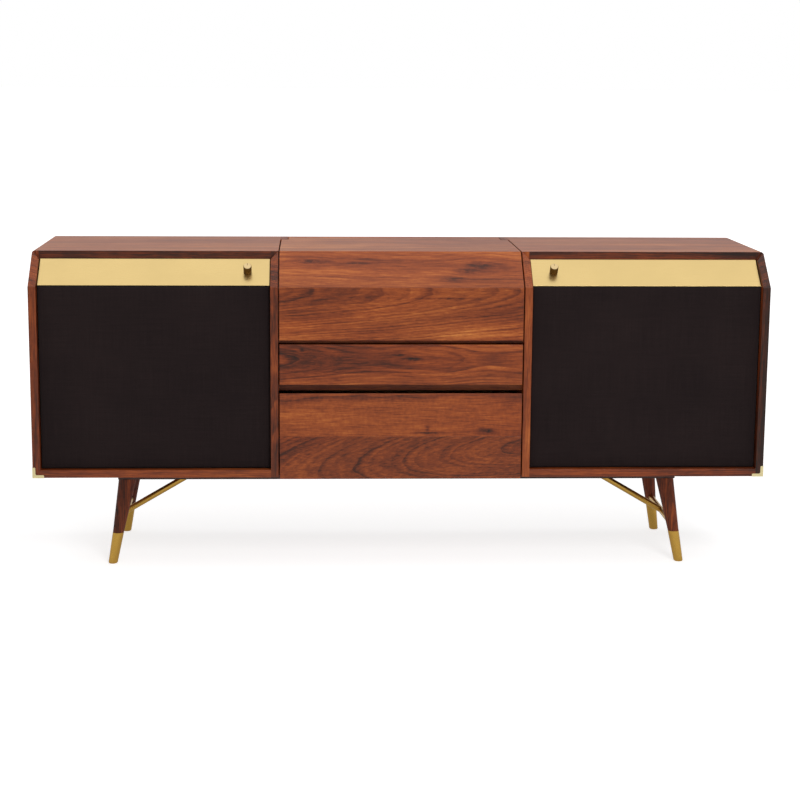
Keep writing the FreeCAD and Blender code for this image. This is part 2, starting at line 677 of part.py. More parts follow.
def drawer_box(floor_z, rim_z, back_depth, slide_z):
    """Sides, back, base and the two slide bars of a drawer."""
    sides = pair(box((DRAWER_HALF - DRAWER_SIDE, DRAWER_HALF), (BOARD, back_depth), (floor_z, rim_z)))
    inner = DRAWER_HALF - DRAWER_SIDE
    back = box((-inner, inner), (back_depth - DRAWER_SIDE, back_depth), (floor_z, rim_z))
    base = box((-inner, inner), (BOARD, back_depth - DRAWER_SIDE), (floor_z, floor_z + DRAWER_BASE))
    slide = box((DRAWER_HALF, DRAWER_HALF + 15), (SLIDE_DEPTHS[0], back_depth),
                (slide_z - SLIDE_HALF, slide_z + SLIDE_HALF))
    return sides + [back, base] + pair(slide)


def channel(slide_z):
    """A steel channel on the bay's side, open towards the drawer."""
    outer = box((DRAWER_HALF + 5, BAY_HALF), SLIDE_DEPTHS, (slide_z - CHANNEL_HALF, slide_z + CHANNEL_HALF))
    hollow = box((DRAWER_HALF + 4, BAY_HALF - 2), (0, DEPTH),
                 (slide_z - CHANNEL_HALF + 2, slide_z + CHANNEL_HALF - 2))
    return outer.cut(hollow)


UPPER_SLIDE_Z = 536.0
LOWER_SLIDE_Z = 330.0
FINGER_BEVEL = 12.0


def front_board(zs, bevel_low, bevel_high):
    """A drawer front, bevelled behind its top or bottom edge for the fingers."""
    low, high = zs
    outline = [(0, low), (0, high)]
    outline += [(4, high), (BOARD, high - FINGER_BEVEL)] if bevel_high else [(BOARD, high)]
    outline += [(BOARD, low + FINGER_BEVEL), (4, low)] if bevel_low else [(BOARD, low)]
    board = prism(outline, (-FRONT_HALF, FRONT_HALF))
    return soften(board, ARRIS, lambda point, edge: near(point.y, FRONT_Y))


def drawers():
    save("upper_drawer_front", [front_board(UPPER_FRONT, True, False)])
    save("upper_drawer_box", drawer_box(504, 574, 430, UPPER_SLIDE_Z))
    front = front_board(LOWER_FRONT, False, True)
    upper_half = box((-HALF, HALF), (-10, BOARD + 1), (LOWER_SEAM, HEIGHT))
    save("lower_drawer_front", [front.cut(upper_half), front.common(upper_half)])
    save("lower_drawer_box", drawer_box(280, 446, 440, LOWER_SLIDE_Z))
    save("drawer_channels", pair(channel(UPPER_SLIDE_Z)) + pair(channel(LOWER_SLIDE_Z)))


# ---------------------------------------------------------------- turntable deck
PLATTER_X = -50.0
PLATTER_DEPTH = 245.0
PLINTH_X = (-220.0, 220.0)
PLINTH_DEPTHS = (70.0, 420.0)
FOOT_HEIGHT = 12.0
PLINTH_Z = (SHELF_TOP + FOOT_HEIGHT, SHELF_TOP + FOOT_HEIGHT + 38)
DECK_Z = PLINTH_Z[1]
SUB_RADIUS = 60.0
PULLEY_RADIUS = 6.0
PLATTER_RADIUS = 150.0
PLATTER_Z = (DECK_Z + 13, DECK_Z + 33)
MAT_TOP = PLATTER_Z[1] + 3
SPINDLE_TOP = MAT_TOP + 13
RECORD_SPINDLE_RADIUS = 3.58
SHANK_RADIUS = 3.2              # of the record spindle inside the platter
BEARING_RADIUS = 4.0
MOTOR_X = PLATTER_X - 85.0
MOTOR_DEPTH = PLATTER_DEPTH - 60.0
SPEED_X = -188.0
SPEED_DEPTH = 98.0

ARM_X = PLATTER_X + 182.0
ARM_DEPTH = PLATTER_DEPTH + 108.0
ARM_Z = DECK_Z + 57.0
ARM_RADIUS = 4.5
ARM_LENGTH = 226.0
HEADSHELL_OFFSET = 22.0         # degrees, turned in towards the record
LIFTER_REACH = 35.0


def turntable_plinth():
    plinth = box(PLINTH_X, PLINTH_DEPTHS, PLINTH_Z)
    plinth = soften(plinth, 14.0, lambda point, edge: near(point.z, sum(PLINTH_Z) / 2))
    plinth = soften(plinth, 2.0, lambda point, edge: near(point.z, DECK_Z))
    plinth = plinth.cut(disc(PLATTER_X, PLATTER_DEPTH, (PLINTH_Z[0] - 1, DECK_Z + 1), 12.0))
    plinth = plinth.cut(disc(MOTOR_X, MOTOR_DEPTH, (PLINTH_Z[0] - 1, DECK_Z - 3), 26.0))
    plinth = plinth.cut(disc(MOTOR_X, MOTOR_DEPTH, (DECK_Z - 4, DECK_Z + 1), 4.0))
    plinth = plinth.cut(disc(SPEED_X, SPEED_DEPTH, (DECK_Z - 16, DECK_Z + 1), SPINDLE_RADIUS + RUNNING))
    save("turntable_plinth", [plinth])


def isolation_feet():
    feet = []
    for x in (PLINTH_X[0] + 40, PLINTH_X[1] - 40):
        for depth in (PLINTH_DEPTHS[0] + 40, PLINTH_DEPTHS[1] - 40):
            outline = [(0, 0), (14, 0), (18, 4), (18, FOOT_HEIGHT), (0, FOOT_HEIGHT)]
            feet.append(turned(outline, at(x, depth, SHELF_TOP), UP))
    save("isolation_feet", feet)


def platter_bearing():
    """The bearing well, hung in the plinth by its flange."""
    well = disc(PLATTER_X, PLATTER_DEPTH, (PLINTH_Z[0] + 3, DECK_Z), 11.9)
    flange = disc(PLATTER_X, PLATTER_DEPTH, (DECK_Z, DECK_Z + 3), 22.0)
    bore = disc(PLATTER_X, PLATTER_DEPTH, (PLINTH_Z[0] + 7, DECK_Z + 4), BEARING_RADIUS + RUNNING)
    save("platter_bearing", [fused([well, flange]).cut(bore)])


def platter_parts():
    """Spindle with its belt disc, the platter over it and the mat on top."""
    shaft = disc(PLATTER_X, PLATTER_DEPTH, (PLINTH_Z[0] + 7.2, PLATTER_Z[0]), BEARING_RADIUS)
    sub = disc(PLATTER_X, PLATTER_DEPTH, (DECK_Z + 4, DECK_Z + 12.8), SUB_RADIUS)
    shank = disc(PLATTER_X, PLATTER_DEPTH, (PLATTER_Z[0] - 1, MAT_TOP), SHANK_RADIUS)
    record_pin = disc(PLATTER_X, PLATTER_DEPTH, (MAT_TOP, SPINDLE_TOP), RECORD_SPINDLE_RADIUS)
    record_pin = soften(record_pin, 1.5, lambda point, edge: near(point.z, SPINDLE_TOP)
                        and edge.Length > 20)
    neck = disc(PLATTER_X, PLATTER_DEPTH, (DECK_Z + 12, PLATTER_Z[0] + 4), 9.0)
    save("platter_spindle", [fused([shaft, sub, neck, shank, record_pin])])
    high, low = PLATTER_Z[1] - PLATTER_Z[0], 0.0
    outline = [(9.05, low), (PLATTER_RADIUS - 3, low), (PLATTER_RADIUS, 3), (PLATTER_RADIUS, high - 2),
               (PLATTER_RADIUS - 2, high), (SHANK_RADIUS + RUNNING, high),
               (SHANK_RADIUS + RUNNING, 4.05), (9.05, 4.05)]
    centre = at(PLATTER_X, PLATTER_DEPTH, PLATTER_Z[0])
    save("platter", [turned(outline, centre, UP)])
    mat = disc(PLATTER_X, PLATTER_DEPTH, (PLATTER_Z[1], MAT_TOP), PLATTER_RADIUS - 4)
    mat = mat.cut(disc(PLATTER_X, PLATTER_DEPTH, (PLATTER_Z[1] - 1, MAT_TOP + 1), 3.7))
    save("platter_mat", [mat])


def belt_loop(extra):
    """The flat loop around the belt disc and the pulley, a distance outside both."""
    centre = at(PLATTER_X, PLATTER_DEPTH, DECK_Z + 6)
    motor = at(MOTOR_X, MOTOR_DEPTH, DECK_Z + 6)
    run = motor - centre
    big, small = SUB_RADIUS + extra, PULLEY_RADIUS + extra
    lean = atan2(run.y, run.x)
    half = pi / 2 - atan2(big - small, (run.Length ** 2 - (big - small) ** 2) ** 0.5)

    def on_circle(middle, radius, angle):
        return middle + Vec(cos(angle), sin(angle), 0) * radius

    big_arc = Part.Arc(on_circle(centre, big, lean + half), on_circle(centre, big, lean + pi),
                       on_circle(centre, big, lean - half))
    small_arc = Part.Arc(on_circle(motor, small, lean - half), on_circle(motor, small, lean),
                         on_circle(motor, small, lean + half))
    edges = [big_arc.toShape(),
             Part.LineSegment(big_arc.EndPoint, small_arc.StartPoint).toShape(), small_arc.toShape(),
             Part.LineSegment(small_arc.EndPoint, big_arc.StartPoint).toShape()]
    return Part.Face(Part.Wire(edges)).extrude(UP * 5)


def drive_parts():
    """Motor under the plinth, pulley on its shaft and the belt."""
    motor = disc(MOTOR_X, MOTOR_DEPTH, (PLINTH_Z[0] + 2, DECK_Z - 3), 24.0)
    nose = disc(MOTOR_X, MOTOR_DEPTH, (DECK_Z - 3, DECK_Z), 3.9)
    bore = disc(MOTOR_X, MOTOR_DEPTH, (PLINTH_Z[0] + 8, DECK_Z + 1), 1.5 + RUNNING)
    save("motor", [fused([motor, nose]).cut(bore)])
    shaft = disc(MOTOR_X, MOTOR_DEPTH, (PLINTH_Z[0] + 8.2, DECK_Z + 4), 1.5)
    pulley = disc(MOTOR_X, MOTOR_DEPTH, (DECK_Z + 4, DECK_Z + 12.5), PULLEY_RADIUS)
    save("motor_pulley", [fused([shaft, pulley])])
    save("drive_belt", [belt_loop(1.0).cut(belt_loop(RUNNING))])


def speed_knob():
    """Rotary switch for stop and the two speeds."""
    outline = [(0, 0.4), (16, 0.4), (16, 10), (14.6, 12), (0, 12)]
    cap = turned(outline, at(SPEED_X, SPEED_DEPTH, DECK_Z), UP)
    mark = box((SPEED_X - 0.8, SPEED_X + 0.8), (SPEED_DEPTH - 13, SPEED_DEPTH - 5),
               (DECK_Z + 11, DECK_Z + 13))
    shaft = disc(SPEED_X, SPEED_DEPTH, (DECK_Z - 14, DECK_Z + 1), SPINDLE_RADIUS)
    save("speed_knob", [fused([cap.cut(mark), shaft])])


# ---------------------------------------------------------------- tonearm
def ring_part(radius_low, radius_high, zs, angle_low, angle_high):
    """Part of a flat ring about the arm's pivot; angle 0 points to the front."""
    centre = at(ARM_X, ARM_DEPTH, zs[0])
    height = zs[1] - zs[0]
    turn = Vec(0, 0, 1)
    outer = Part.makeCylinder(radius_high, height, centre, turn, angle_high - angle_low)
    inner = Part.makeCylinder(radius_low, height, centre, turn)
    piece = outer.cut(inner)
    piece.rotate(centre, turn, -90 - angle_high)
    return piece


LIFTER_ANGLE = 22.0             # where the lifter's post stands, from the front towards the platter
LIFTER_TOP = ARM_Z - ARM_RADIUS - 0.3
LEVER_PIVOT = at(ARM_X + 31, ARM_DEPTH - 36, DECK_Z + 16)


def around_arm(radius, angle, z):
    return at(ARM_X - radius * sin(radians(angle)), ARM_DEPTH - radius * cos(radians(angle)), z)


def tonearm_base():
    """Arm board with the pillar, the lifter's guide and the cue lever's cheek."""
    plate = disc(ARM_X, ARM_DEPTH, (DECK_Z, DECK_Z + 5), 27.0)
    pillar = disc(ARM_X, ARM_DEPTH, (DECK_Z, DECK_Z + 38), 13.0)
    guide_low = around_arm(LIFTER_REACH, LIFTER_ANGLE, DECK_Z)
    guide = bar(guide_low, around_arm(LIFTER_REACH, LIFTER_ANGLE, DECK_Z + 36), 5.5)
    foot = bar(guide_low, around_arm(LIFTER_REACH, LIFTER_ANGLE, DECK_Z + 5), 10.0)
    web_x = (LEVER_PIVOT.x - 10, LEVER_PIVOT.x - 4)
    lever_depth = LEVER_PIVOT.y - FRONT_Y
    cheek = box(web_x, (lever_depth - 7, lever_depth + 20), (DECK_Z, LEVER_PIVOT.z + 7))
    cheek_foot = box((ARM_X, web_x[1]), (lever_depth, ARM_DEPTH), (DECK_Z, DECK_Z + 5))
    base = fused([plate, pillar, guide, foot, cheek, cheek_foot])
    base = base.cut(disc(ARM_X, ARM_DEPTH, (DECK_Z + 8, DECK_Z + 40), 5.0 + RUNNING))
    post_low = around_arm(LIFTER_REACH, LIFTER_ANGLE, DECK_Z + 8)
    base = base.cut(bar(post_low, around_arm(LIFTER_REACH, LIFTER_ANGLE, DECK_Z + 40),
                        2.5 + RUNNING))
    across = Vec(12, 0, 0)
    base = base.cut(bar(LEVER_PIVOT - across, LEVER_PIVOT, 2.0 + RUNNING))
    save("tonearm_base", [base])


def arm_rest():
    """A post with a shelf for the arm, open towards the platter."""
    depth = ARM_DEPTH - 150
    shelf_z = ARM_Z - ARM_RADIUS - 0.35
    post = disc(ARM_X, depth, (DECK_Z, shelf_z - 3), 4.0)
    shelf = box((ARM_X - 5, ARM_X + 9), (depth - 5, depth + 5), (shelf_z - 3, shelf_z))
    stop = box((ARM_X + 6, ARM_X + 9), (depth - 5, depth + 5), (shelf_z - 3, ARM_Z + 6))
    save("arm_rest", [fused([post, shelf, stop])])


def tonearm_gimbal():
    """The yoke that swings on the pillar and carries the arm's cross pivots."""
    shaft = disc(ARM_X, ARM_DEPTH, (DECK_Z + 8.2, DECK_Z + 39), 5.0)
    seat = disc(ARM_X, ARM_DEPTH, (DECK_Z + 38.3, DECK_Z + 44), 15.0)
    ears = [box((ARM_X + low, ARM_X + low + 4), (ARM_DEPTH - 7, ARM_DEPTH + 7), (DECK_Z + 43, ARM_Z + 8))
            for low in (-14, 10)]
    yoke = fused([shaft, seat] + ears)
    yoke = yoke.cut(bar(at(ARM_X - 20, ARM_DEPTH, ARM_Z), at(ARM_X + 20, ARM_DEPTH, ARM_Z),
                        2.0 + RUNNING))
    save("tonearm_gimbal", [yoke])


ARM_TIP = ARM_DEPTH - 190       # where the tube enters the headshell
STUB_RADIUS = 5.0
WEIGHT_DEPTHS = (ARM_DEPTH + 26, ARM_DEPTH + 54)
WEIGHT_RADIUS = 19.0


def tonearm_parts():
    """Arm tube with its hub and rear stub, headshell with cartridge, counterweight."""
    front_tube = bar(at(ARM_X, ARM_TIP, ARM_Z), at(ARM_X, ARM_DEPTH, ARM_Z), ARM_RADIUS)
    hub = box((ARM_X - 9, ARM_X + 9), (ARM_DEPTH - 8, ARM_DEPTH + 8), (ARM_Z - 8, ARM_Z + 8))
    hub = hub.makeChamfer(1.0, hub.Edges)
    pins = bar(at(ARM_X - 13.5, ARM_DEPTH, ARM_Z), at(ARM_X + 13.5, ARM_DEPTH, ARM_Z), 2.0)
    stub = bar(at(ARM_X, ARM_DEPTH, ARM_Z), at(ARM_X, WEIGHT_DEPTHS[1] + 4, ARM_Z), STUB_RADIUS)
    collar = bar(at(ARM_X, ARM_DEPTH + 14, ARM_Z), at(ARM_X, WEIGHT_DEPTHS[0] - 2, ARM_Z), 8.0)
    save("tonearm_tube", [fused([front_tube, hub, pins, stub, collar])])

    tip = at(ARM_X, ARM_TIP, ARM_Z)
    socket = bar(at(ARM_X, ARM_TIP - 12, ARM_Z), tip, 6.2)
    plate = box((ARM_X - 9, ARM_X + 9), (ARM_TIP - 46, ARM_TIP - 8), (ARM_Z - 4, ARM_Z - 1.2))
    lift = box((ARM_X + 9, ARM_X + 24), (ARM_TIP - 34, ARM_TIP - 29), (ARM_Z - 3, ARM_Z - 1.5))
    cartridge = box((ARM_X - 8, ARM_X + 8), (ARM_TIP - 42, ARM_TIP - 16), (ARM_Z - 15, ARM_Z - 4))
    stylus = taper(at(ARM_X, ARM_TIP - 38, ARM_Z - 15), at(ARM_X, ARM_TIP - 38, ARM_Z - 17.6), 1.6, 0.4)
    head = fused([plate, lift])
    body = fused([cartridge, stylus])
    for solid in (head, body):
        solid.rotate(tip, UP, -HEADSHELL_OFFSET)
    save("headshell", [fused([socket, head]).cut(body), body])

    bore = bar(at(ARM_X, WEIGHT_DEPTHS[0] - 1, ARM_Z), at(ARM_X, WEIGHT_DEPTHS[1] + 1, ARM_Z),
               STUB_RADIUS + RUNNING)
    weight = bar(at(ARM_X, WEIGHT_DEPTHS[0], ARM_Z), at(ARM_X, WEIGHT_DEPTHS[1], ARM_Z), WEIGHT_RADIUS)
    weight = soften(weight, 1.5, lambda point, edge: edge.Length > 2 * pi * WEIGHT_RADIUS - 1)
    save("counterweight", [weight.cut(bore)])


def cueing_parts():
    """The curved lifter under the arm and the lever that raises it."""
    arc = ring_part(LIFTER_REACH - 3, LIFTER_REACH + 3, (LIFTER_TOP - 3, LIFTER_TOP), -8, 52)
    post = bar(around_arm(LIFTER_REACH, LIFTER_ANGLE, DECK_Z + 12),
               around_arm(LIFTER_REACH, LIFTER_ANGLE, LIFTER_TOP - 2), 2.5)
    save("cue_lifter", [fused([arc, post])])
    across = Vec(1, 0, 0)
    tip = LEVER_PIVOT + Vec(0, -46, 7)
    hub = bar(LEVER_PIVOT - across * 3.6, LEVER_PIVOT + across * 4, 5.0)
    pin = bar(LEVER_PIVOT - across * 9.5, LEVER_PIVOT, 2.0)
    handle = bar(LEVER_PIVOT, tip, 2.2)
    ball = Part.makeSphere(4.5, tip)
    save("cue_lever", [fused([hub, pin, handle, ball])])


# ---------------------------------------------------------------- build
os.makedirs(OUTPUT, exist_ok=True)
for build in (outer_side_panels, inner_side_panels, top_boards, bottom_boards, back_panels,
              hinge_rail, bay_liners, bay_shelves, base_rails, legs, leg_ferrules, leg_braces,
              corner_caps, control_fascias, control_potentiometers, knobs, grilles,
              speaker_baffles, woofer_baskets, woofer_cones, tweeters, amplifier_case,
              terminal_plate, lid_boards, lid_hinge, lid_struts, drawers, turntable_plinth,
              isolation_feet, platter_bearing, platter_parts, drive_parts, speed_knob,
              tonearm_base, arm_rest, tonearm_gimbal, tonearm_parts, cueing_parts):
    build()
print("slope", round(degrees(SLOPE_ANGLE), 2), "degrees; strut", round(STRUT_LENGTH, 1), "mm shut,",
      round(2 * STRUT_REACH * sin(radians((STRUT_LOW_ANGLE - STRUT_TOP_ANGLE + LID_SWING) / 2)), 1),
      "mm open; arm pivot to spindle", round(hypot(ARM_X - PLATTER_X, ARM_DEPTH - PLATTER_DEPTH), 1))
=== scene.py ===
"""Looks of the record console: walnut boards, brass trim, speaker cloth and the record deck.

Metres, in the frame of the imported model: +X right, +Y back, +Z up, origin on the floor.
"""
import json
from math import atan2, cos, pi, radians, sin

import bmesh
import bpy
from mathutils import Matrix, Vector

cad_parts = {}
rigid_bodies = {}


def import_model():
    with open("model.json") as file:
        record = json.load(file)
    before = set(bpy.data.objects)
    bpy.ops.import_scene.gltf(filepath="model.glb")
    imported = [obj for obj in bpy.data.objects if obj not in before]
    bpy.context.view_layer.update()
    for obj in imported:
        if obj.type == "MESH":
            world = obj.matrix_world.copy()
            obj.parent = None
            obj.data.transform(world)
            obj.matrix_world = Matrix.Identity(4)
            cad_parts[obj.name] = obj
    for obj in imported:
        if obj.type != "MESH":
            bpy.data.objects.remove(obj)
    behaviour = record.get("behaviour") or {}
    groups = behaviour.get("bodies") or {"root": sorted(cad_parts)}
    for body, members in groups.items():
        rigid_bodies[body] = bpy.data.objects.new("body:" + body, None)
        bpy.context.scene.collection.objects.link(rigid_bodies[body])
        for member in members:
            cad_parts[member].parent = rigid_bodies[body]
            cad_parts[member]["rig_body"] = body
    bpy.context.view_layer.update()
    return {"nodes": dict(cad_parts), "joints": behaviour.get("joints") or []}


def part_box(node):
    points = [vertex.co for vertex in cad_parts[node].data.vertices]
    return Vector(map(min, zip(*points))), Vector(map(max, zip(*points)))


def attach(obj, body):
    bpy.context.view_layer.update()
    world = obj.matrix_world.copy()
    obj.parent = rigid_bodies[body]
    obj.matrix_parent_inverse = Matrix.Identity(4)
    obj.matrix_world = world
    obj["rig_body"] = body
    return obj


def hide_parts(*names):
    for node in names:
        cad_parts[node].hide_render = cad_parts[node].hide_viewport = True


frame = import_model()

X, Y, Z = Vector((1, 0, 0)), Vector((0, 1, 0)), Vector((0, 0, 1))
MM = 0.001

# ---------------------------------------------------------------- sizes shared with the model
HALF_WIDTH = 0.910
FRONT_Y = -0.243                # front plane of the wood
BACK_Y = 0.235                  # outer face of the back panels
BOARD = 0.019                   # thickness of a case board
BAY_HALF = 0.303                # half of the centre bay's clear width
CREASE_Z = 0.7285               # where the sloping front meets the upright front
SLOPE_RISE, SLOPE_DEPTH = 0.0795, 0.092     # how far the slope climbs and runs back
RAIL_BOTTOM = 0.768             # underside of the rear rail
LOWER_SEAM = 0.357              # glue line of the lower drawer front
DRAWER_BOARD = 0.012            # sides and back of a drawer box
DRAWER_BASE = 0.006             # its bottom
DRAWER_INSIDE = 0.271           # half of its clear width


# ---------------------------------------------------------------- shader building
def srgb(red, green, blue):
    """A colour as a screen shows it, 0 to 255, turned into the shader's linear values."""
    def linear(value):
        value /= 255
        return value / 12.92 if value <= 0.04045 else ((value + 0.055) / 1.055) ** 2.4
    return (linear(red), linear(green), linear(blue), 1.0)


class Shader:
    """A material being built. Most methods add nodes and return an output socket."""

    def __init__(self, name):
        self.material = bpy.data.materials.new(name)
        self.material.use_nodes = True
        self.tree = self.material.node_tree
        self.surface = self.tree.nodes["Principled BSDF"]

    def add(self, kind, **settings):
        node = self.tree.nodes.new("ShaderNode" + kind)
        for key, value in settings.items():
            setattr(node, key, value)
        return node

    def put(self, socket, value):
        if isinstance(value, bpy.types.NodeSocket):
            self.tree.links.new(value, socket)
        else:
            socket.default_value = value

    def set(self, **values):
        for key, value in values.items():
            self.put(self.surface.inputs[key.replace("_", " ").title().replace("Ior", "IOR")], value)

    def math(self, operation, *values):
        node = self.add("Math", operation=operation)
        for socket, value in zip(node.inputs, values):
            self.put(socket, value)
        return node.outputs[0]

    def plus(self, *values):
        total = values[0]
        for value in values[1:]:
            total = self.math("ADD", total, value)
        return total

    def times(self, *values):
        total = values[0]
        for value in values[1:]:
            total = self.math("MULTIPLY", total, value)
        return total

    def place(self):
        return self.add("TexCoord").outputs["Object"]

    def along(self, point, direction):
        """How far the point is along a direction."""
        node = self.add("VectorMath", operation="DOT_PRODUCT")
        self.put(node.inputs[0], point)
        self.put(node.inputs[1], tuple(direction))
        return node.outputs["Value"]

    def vector(self, x, y, z):
        node = self.add("CombineXYZ")
        for socket, value in zip(node.inputs, (x, y, z)):
            self.put(socket, value)
        return node.outputs[0]

    def noise(self, point, detail=2.0, roughness=0.5, scale=1.0):
        """A node of smooth noise between 0 and 1, about 0.5 on average."""
        node = self.add("TexNoise")
        self.put(node.inputs["Vector"], point)
        self.put(node.inputs["Scale"], scale)
        self.put(node.inputs["Detail"], detail)
        self.put(node.inputs["Roughness"], roughness)
        return node

    def centred(self, point, amount):
        """Noise about zero, reaching about half the amount each way."""
        return self.times(self.plus(self.noise(point).outputs[0], -0.5), amount)

    def span(self, value, low, high, to_low=0.0, to_high=1.0, kind="SMOOTHSTEP"):
        node = self.add("MapRange", interpolation_type=kind)
        for name, item in (("Value", value), ("From Min", low), ("From Max", high),
                           ("To Min", to_low), ("To Max", to_high)):
            self.put(node.inputs[name], item)
        return node.outputs[0]

    def ramp(self, value, stops):
        node = self.add("ValToRGB")
        ramp = node.color_ramp
        while len(ramp.elements) < len(stops):
            ramp.elements.new(0.5)
        for element, (position, colour) in zip(ramp.elements, stops):
            element.position = position
            element.color = colour
        self.put(node.inputs[0], value)
        return node.outputs[0]

    def mix(self, share, first, second, blend="MIX"):
        """Two colours mixed. Inputs 6 and 7 and output 2 are the node's colour sockets."""
        node = self.add("Mix", data_type="RGBA", blend_type=blend)
        self.put(node.inputs["Factor"], share)
        self.put(node.inputs[6], first)
        self.put(node.inputs[7], second)
        return node.outputs[2]

    def bump(self, height, strength, distance):
        node = self.add("Bump")
        self.put(node.inputs["Strength"], strength)
        self.put(node.inputs["Distance"], distance)
        self.put(node.inputs["Height"], height)
        self.put(self.surface.inputs["Normal"], node.outputs[0])


# ---------------------------------------------------------------- wood
WALNUT = [(0.0, (212, 138, 66)), (0.22, (182, 102, 45)), (0.42, (151, 74, 29)),
          (0.62, (118, 52, 20)), (0.82, (76, 33, 14)), (1.0, (36, 18, 10))]
OAK = [(0.0, (222, 190, 145)), (0.35, (203, 166, 120)), (0.65, (180, 140, 96)), (1.0, (140, 102, 66))]


def bell(s, u, v, centre, reach):
    """1 at a centre on the board, falling to 0 over the reach along and across the grain."""
    du = s.times(s.plus(u, -centre[0]), 1 / reach[0])
    dv = s.times(s.plus(v, -centre[1]), 1 / reach[1])
    far = s.plus(s.times(du, du), s.times(dv, dv))
    return s.math("EXPONENT", s.times(far, -1.0))


def swell(s, u, centre, reach, height):
    """A rise along the board, which closes the rings into lenses."""
    far = s.times(s.plus(u, -centre), 1 / reach)
    return s.times(s.math("EXPONENT", s.times(far, far, -1.0)), height)


def wood(name, grain, across, pith=(0.0, 0.06), lean=0.0, drift=0.0, ring=5.0, wave=4.0,
         tone=0.0, lines=0.20, bands=0.52, streaks=0.48, curl=0.05, seed=0.0,
         knots=(), swells=(), palette=WALNUT, gloss=0.40, coat=0.05):
    """Solid timber: growth rings about a pith line, bent by slow waves and round the knots.

    grain and across are the board's directions, and pith is where the tree's centre lies,
    across the board and square to it. lean tips the pith through the board, which draws
    arches, and drift slants it across the board. ring and wave are in millimetres. tone
    darkens, and lines, bands, streaks and curl say how strongly the rings, the broad bands,
    the fine streaks and the shimmer show. A knot is (along, across, length, height, darkness,
    pull), where pull draws the rings towards it, and a swell is (along, reach, height).
    """
    s = Shader(name)
    point = s.place()
    out = grain.cross(across)
    u = s.along(point, grain)
    v0 = s.along(point, across)
    w0 = s.along(point, out)
    v = v0
    for ku, kv, length, height, dark, pull in knots:
        if pull:
            near = s.times(bell(s, u, v0, (ku, kv), (length * 2.2, height * 2.6)), -pull)
            v = s.plus(v, s.times(s.plus(v0, -kv), near))
    slow = s.noise(s.vector(s.times(u, 2.2), s.times(v, 7.0), s.plus(s.times(w0, 7.0), seed)), 3.0, 0.5)
    split = s.add("SeparateColor")
    s.put(split.inputs[0], slow.outputs["Color"])
    v = s.plus(v, -pith[0], s.times(u, -drift), s.times(s.plus(split.outputs[0], -0.5), wave * 4 * MM))
    w = s.plus(w0, -pith[1], s.times(u, lean), s.times(s.plus(split.outputs[1], -0.5), wave * 4 * MM))
    for centre, reach, height in swells:
        w = s.plus(w, swell(s, u, centre, reach, height))
    radius = s.math("SQRT", s.plus(s.times(v, v), s.times(w, w)))
    ripple = s.centred(s.vector(s.times(u, 9.0), s.times(v, 60.0), s.plus(s.times(w, 60.0), seed)), 0.7)
    count = s.plus(s.times(radius, 1000 / ring), ripple, seed)
    part = s.math("FRACT", count)
    which = s.add("TexWhiteNoise", noise_dimensions="1D")
    s.put(which.inputs["W"], s.math("FLOOR", count))
    strength = s.span(which.outputs["Value"], 0.0, 1.0, 0.1, 1.0, "LINEAR")
    late = s.times(s.span(part, 0.30, 0.90), s.span(part, 0.90, 1.0, 1.0, 0.0), strength)

    broad = s.noise(s.vector(s.times(u, 1.3), s.times(radius, 34.0), seed + 3), 3.0, 0.6).outputs[0]
    cloud = s.noise(s.vector(s.times(u, 4.0), s.times(v, 14.0), s.plus(s.times(w0, 14.0), seed)),
                    2.0).outputs[0]
    streak = s.noise(s.vector(s.times(u, 5.5), s.times(radius, 190.0), s.plus(s.times(v, 40.0), seed)),
                     4.0, 0.62).outputs[0]
    dash = s.noise(s.vector(s.times(u, 26.0), s.times(v, 260.0), s.times(w, 260.0)), 2.0, 0.6).outputs[0]
    fibre = s.noise(s.vector(s.times(u, 16.0), s.times(v, 420.0), s.times(w, 420.0)), 3.0, 0.65).outputs[0]
    pores = s.span(s.noise(s.vector(s.times(u, 55.0), s.times(v, 900.0), s.times(w, 900.0)), 1.0)
                   .outputs[0], 0.60, 0.72)
    shimmer = s.noise(s.vector(s.times(u, 120.0), s.times(v, 90.0), s.plus(s.times(w, 90.0), seed)),
                      2.0).outputs[0]

    shade = s.plus(0.44 + tone,
                   s.times(s.plus(broad, -0.5), bands * 1.8),
                   s.times(s.plus(cloud, -0.5), bands * 0.5),
                   s.times(late, lines),
                   s.times(s.plus(streak, -0.5), streaks),
                   s.times(s.plus(dash, -0.5), 0.44),
                   s.times(s.plus(fibre, -0.5), 0.44),
                   s.times(s.plus(shimmer, -0.5), curl * 2),
                   s.times(pores, 0.10))
    for ku, kv, length, height, dark, pull in knots:
        core = bell(s, u, v0, (ku, kv), (length, height))
        ragged = s.noise(s.vector(s.times(u, 60.0), s.times(v, 260.0), s.plus(ku * 50, seed)),
                         3.0, 0.65).outputs[0]
        shade = s.plus(shade, s.times(core, dark, s.span(ragged, 0.30, 0.62, 0.35, 1.0)))
    colour = s.ramp(shade, [(at, srgb(*value)) for at, value in palette])
    tint = s.noise(s.vector(s.times(u, 1.5), s.times(radius, 18.0), seed + 9), 1.0).outputs[0]
    colour = s.mix(s.span(tint, 0.35, 0.70, 0.0, 0.5), colour, (1.0, 0.84, 0.72, 1), "MULTIPLY")
    s.set(base_color=colour,
          roughness=s.span(fibre, 0.2, 0.8, gloss - 0.05, gloss + 0.07, "LINEAR"),
          specular_ior_level=0.30, coat_weight=coat, coat_roughness=0.30)
    relief = s.plus(s.times(pores, -0.7), s.times(fibre, 0.35), s.times(late, 0.2))
    s.bump(relief, 0.20, 0.00035)
    return s.material


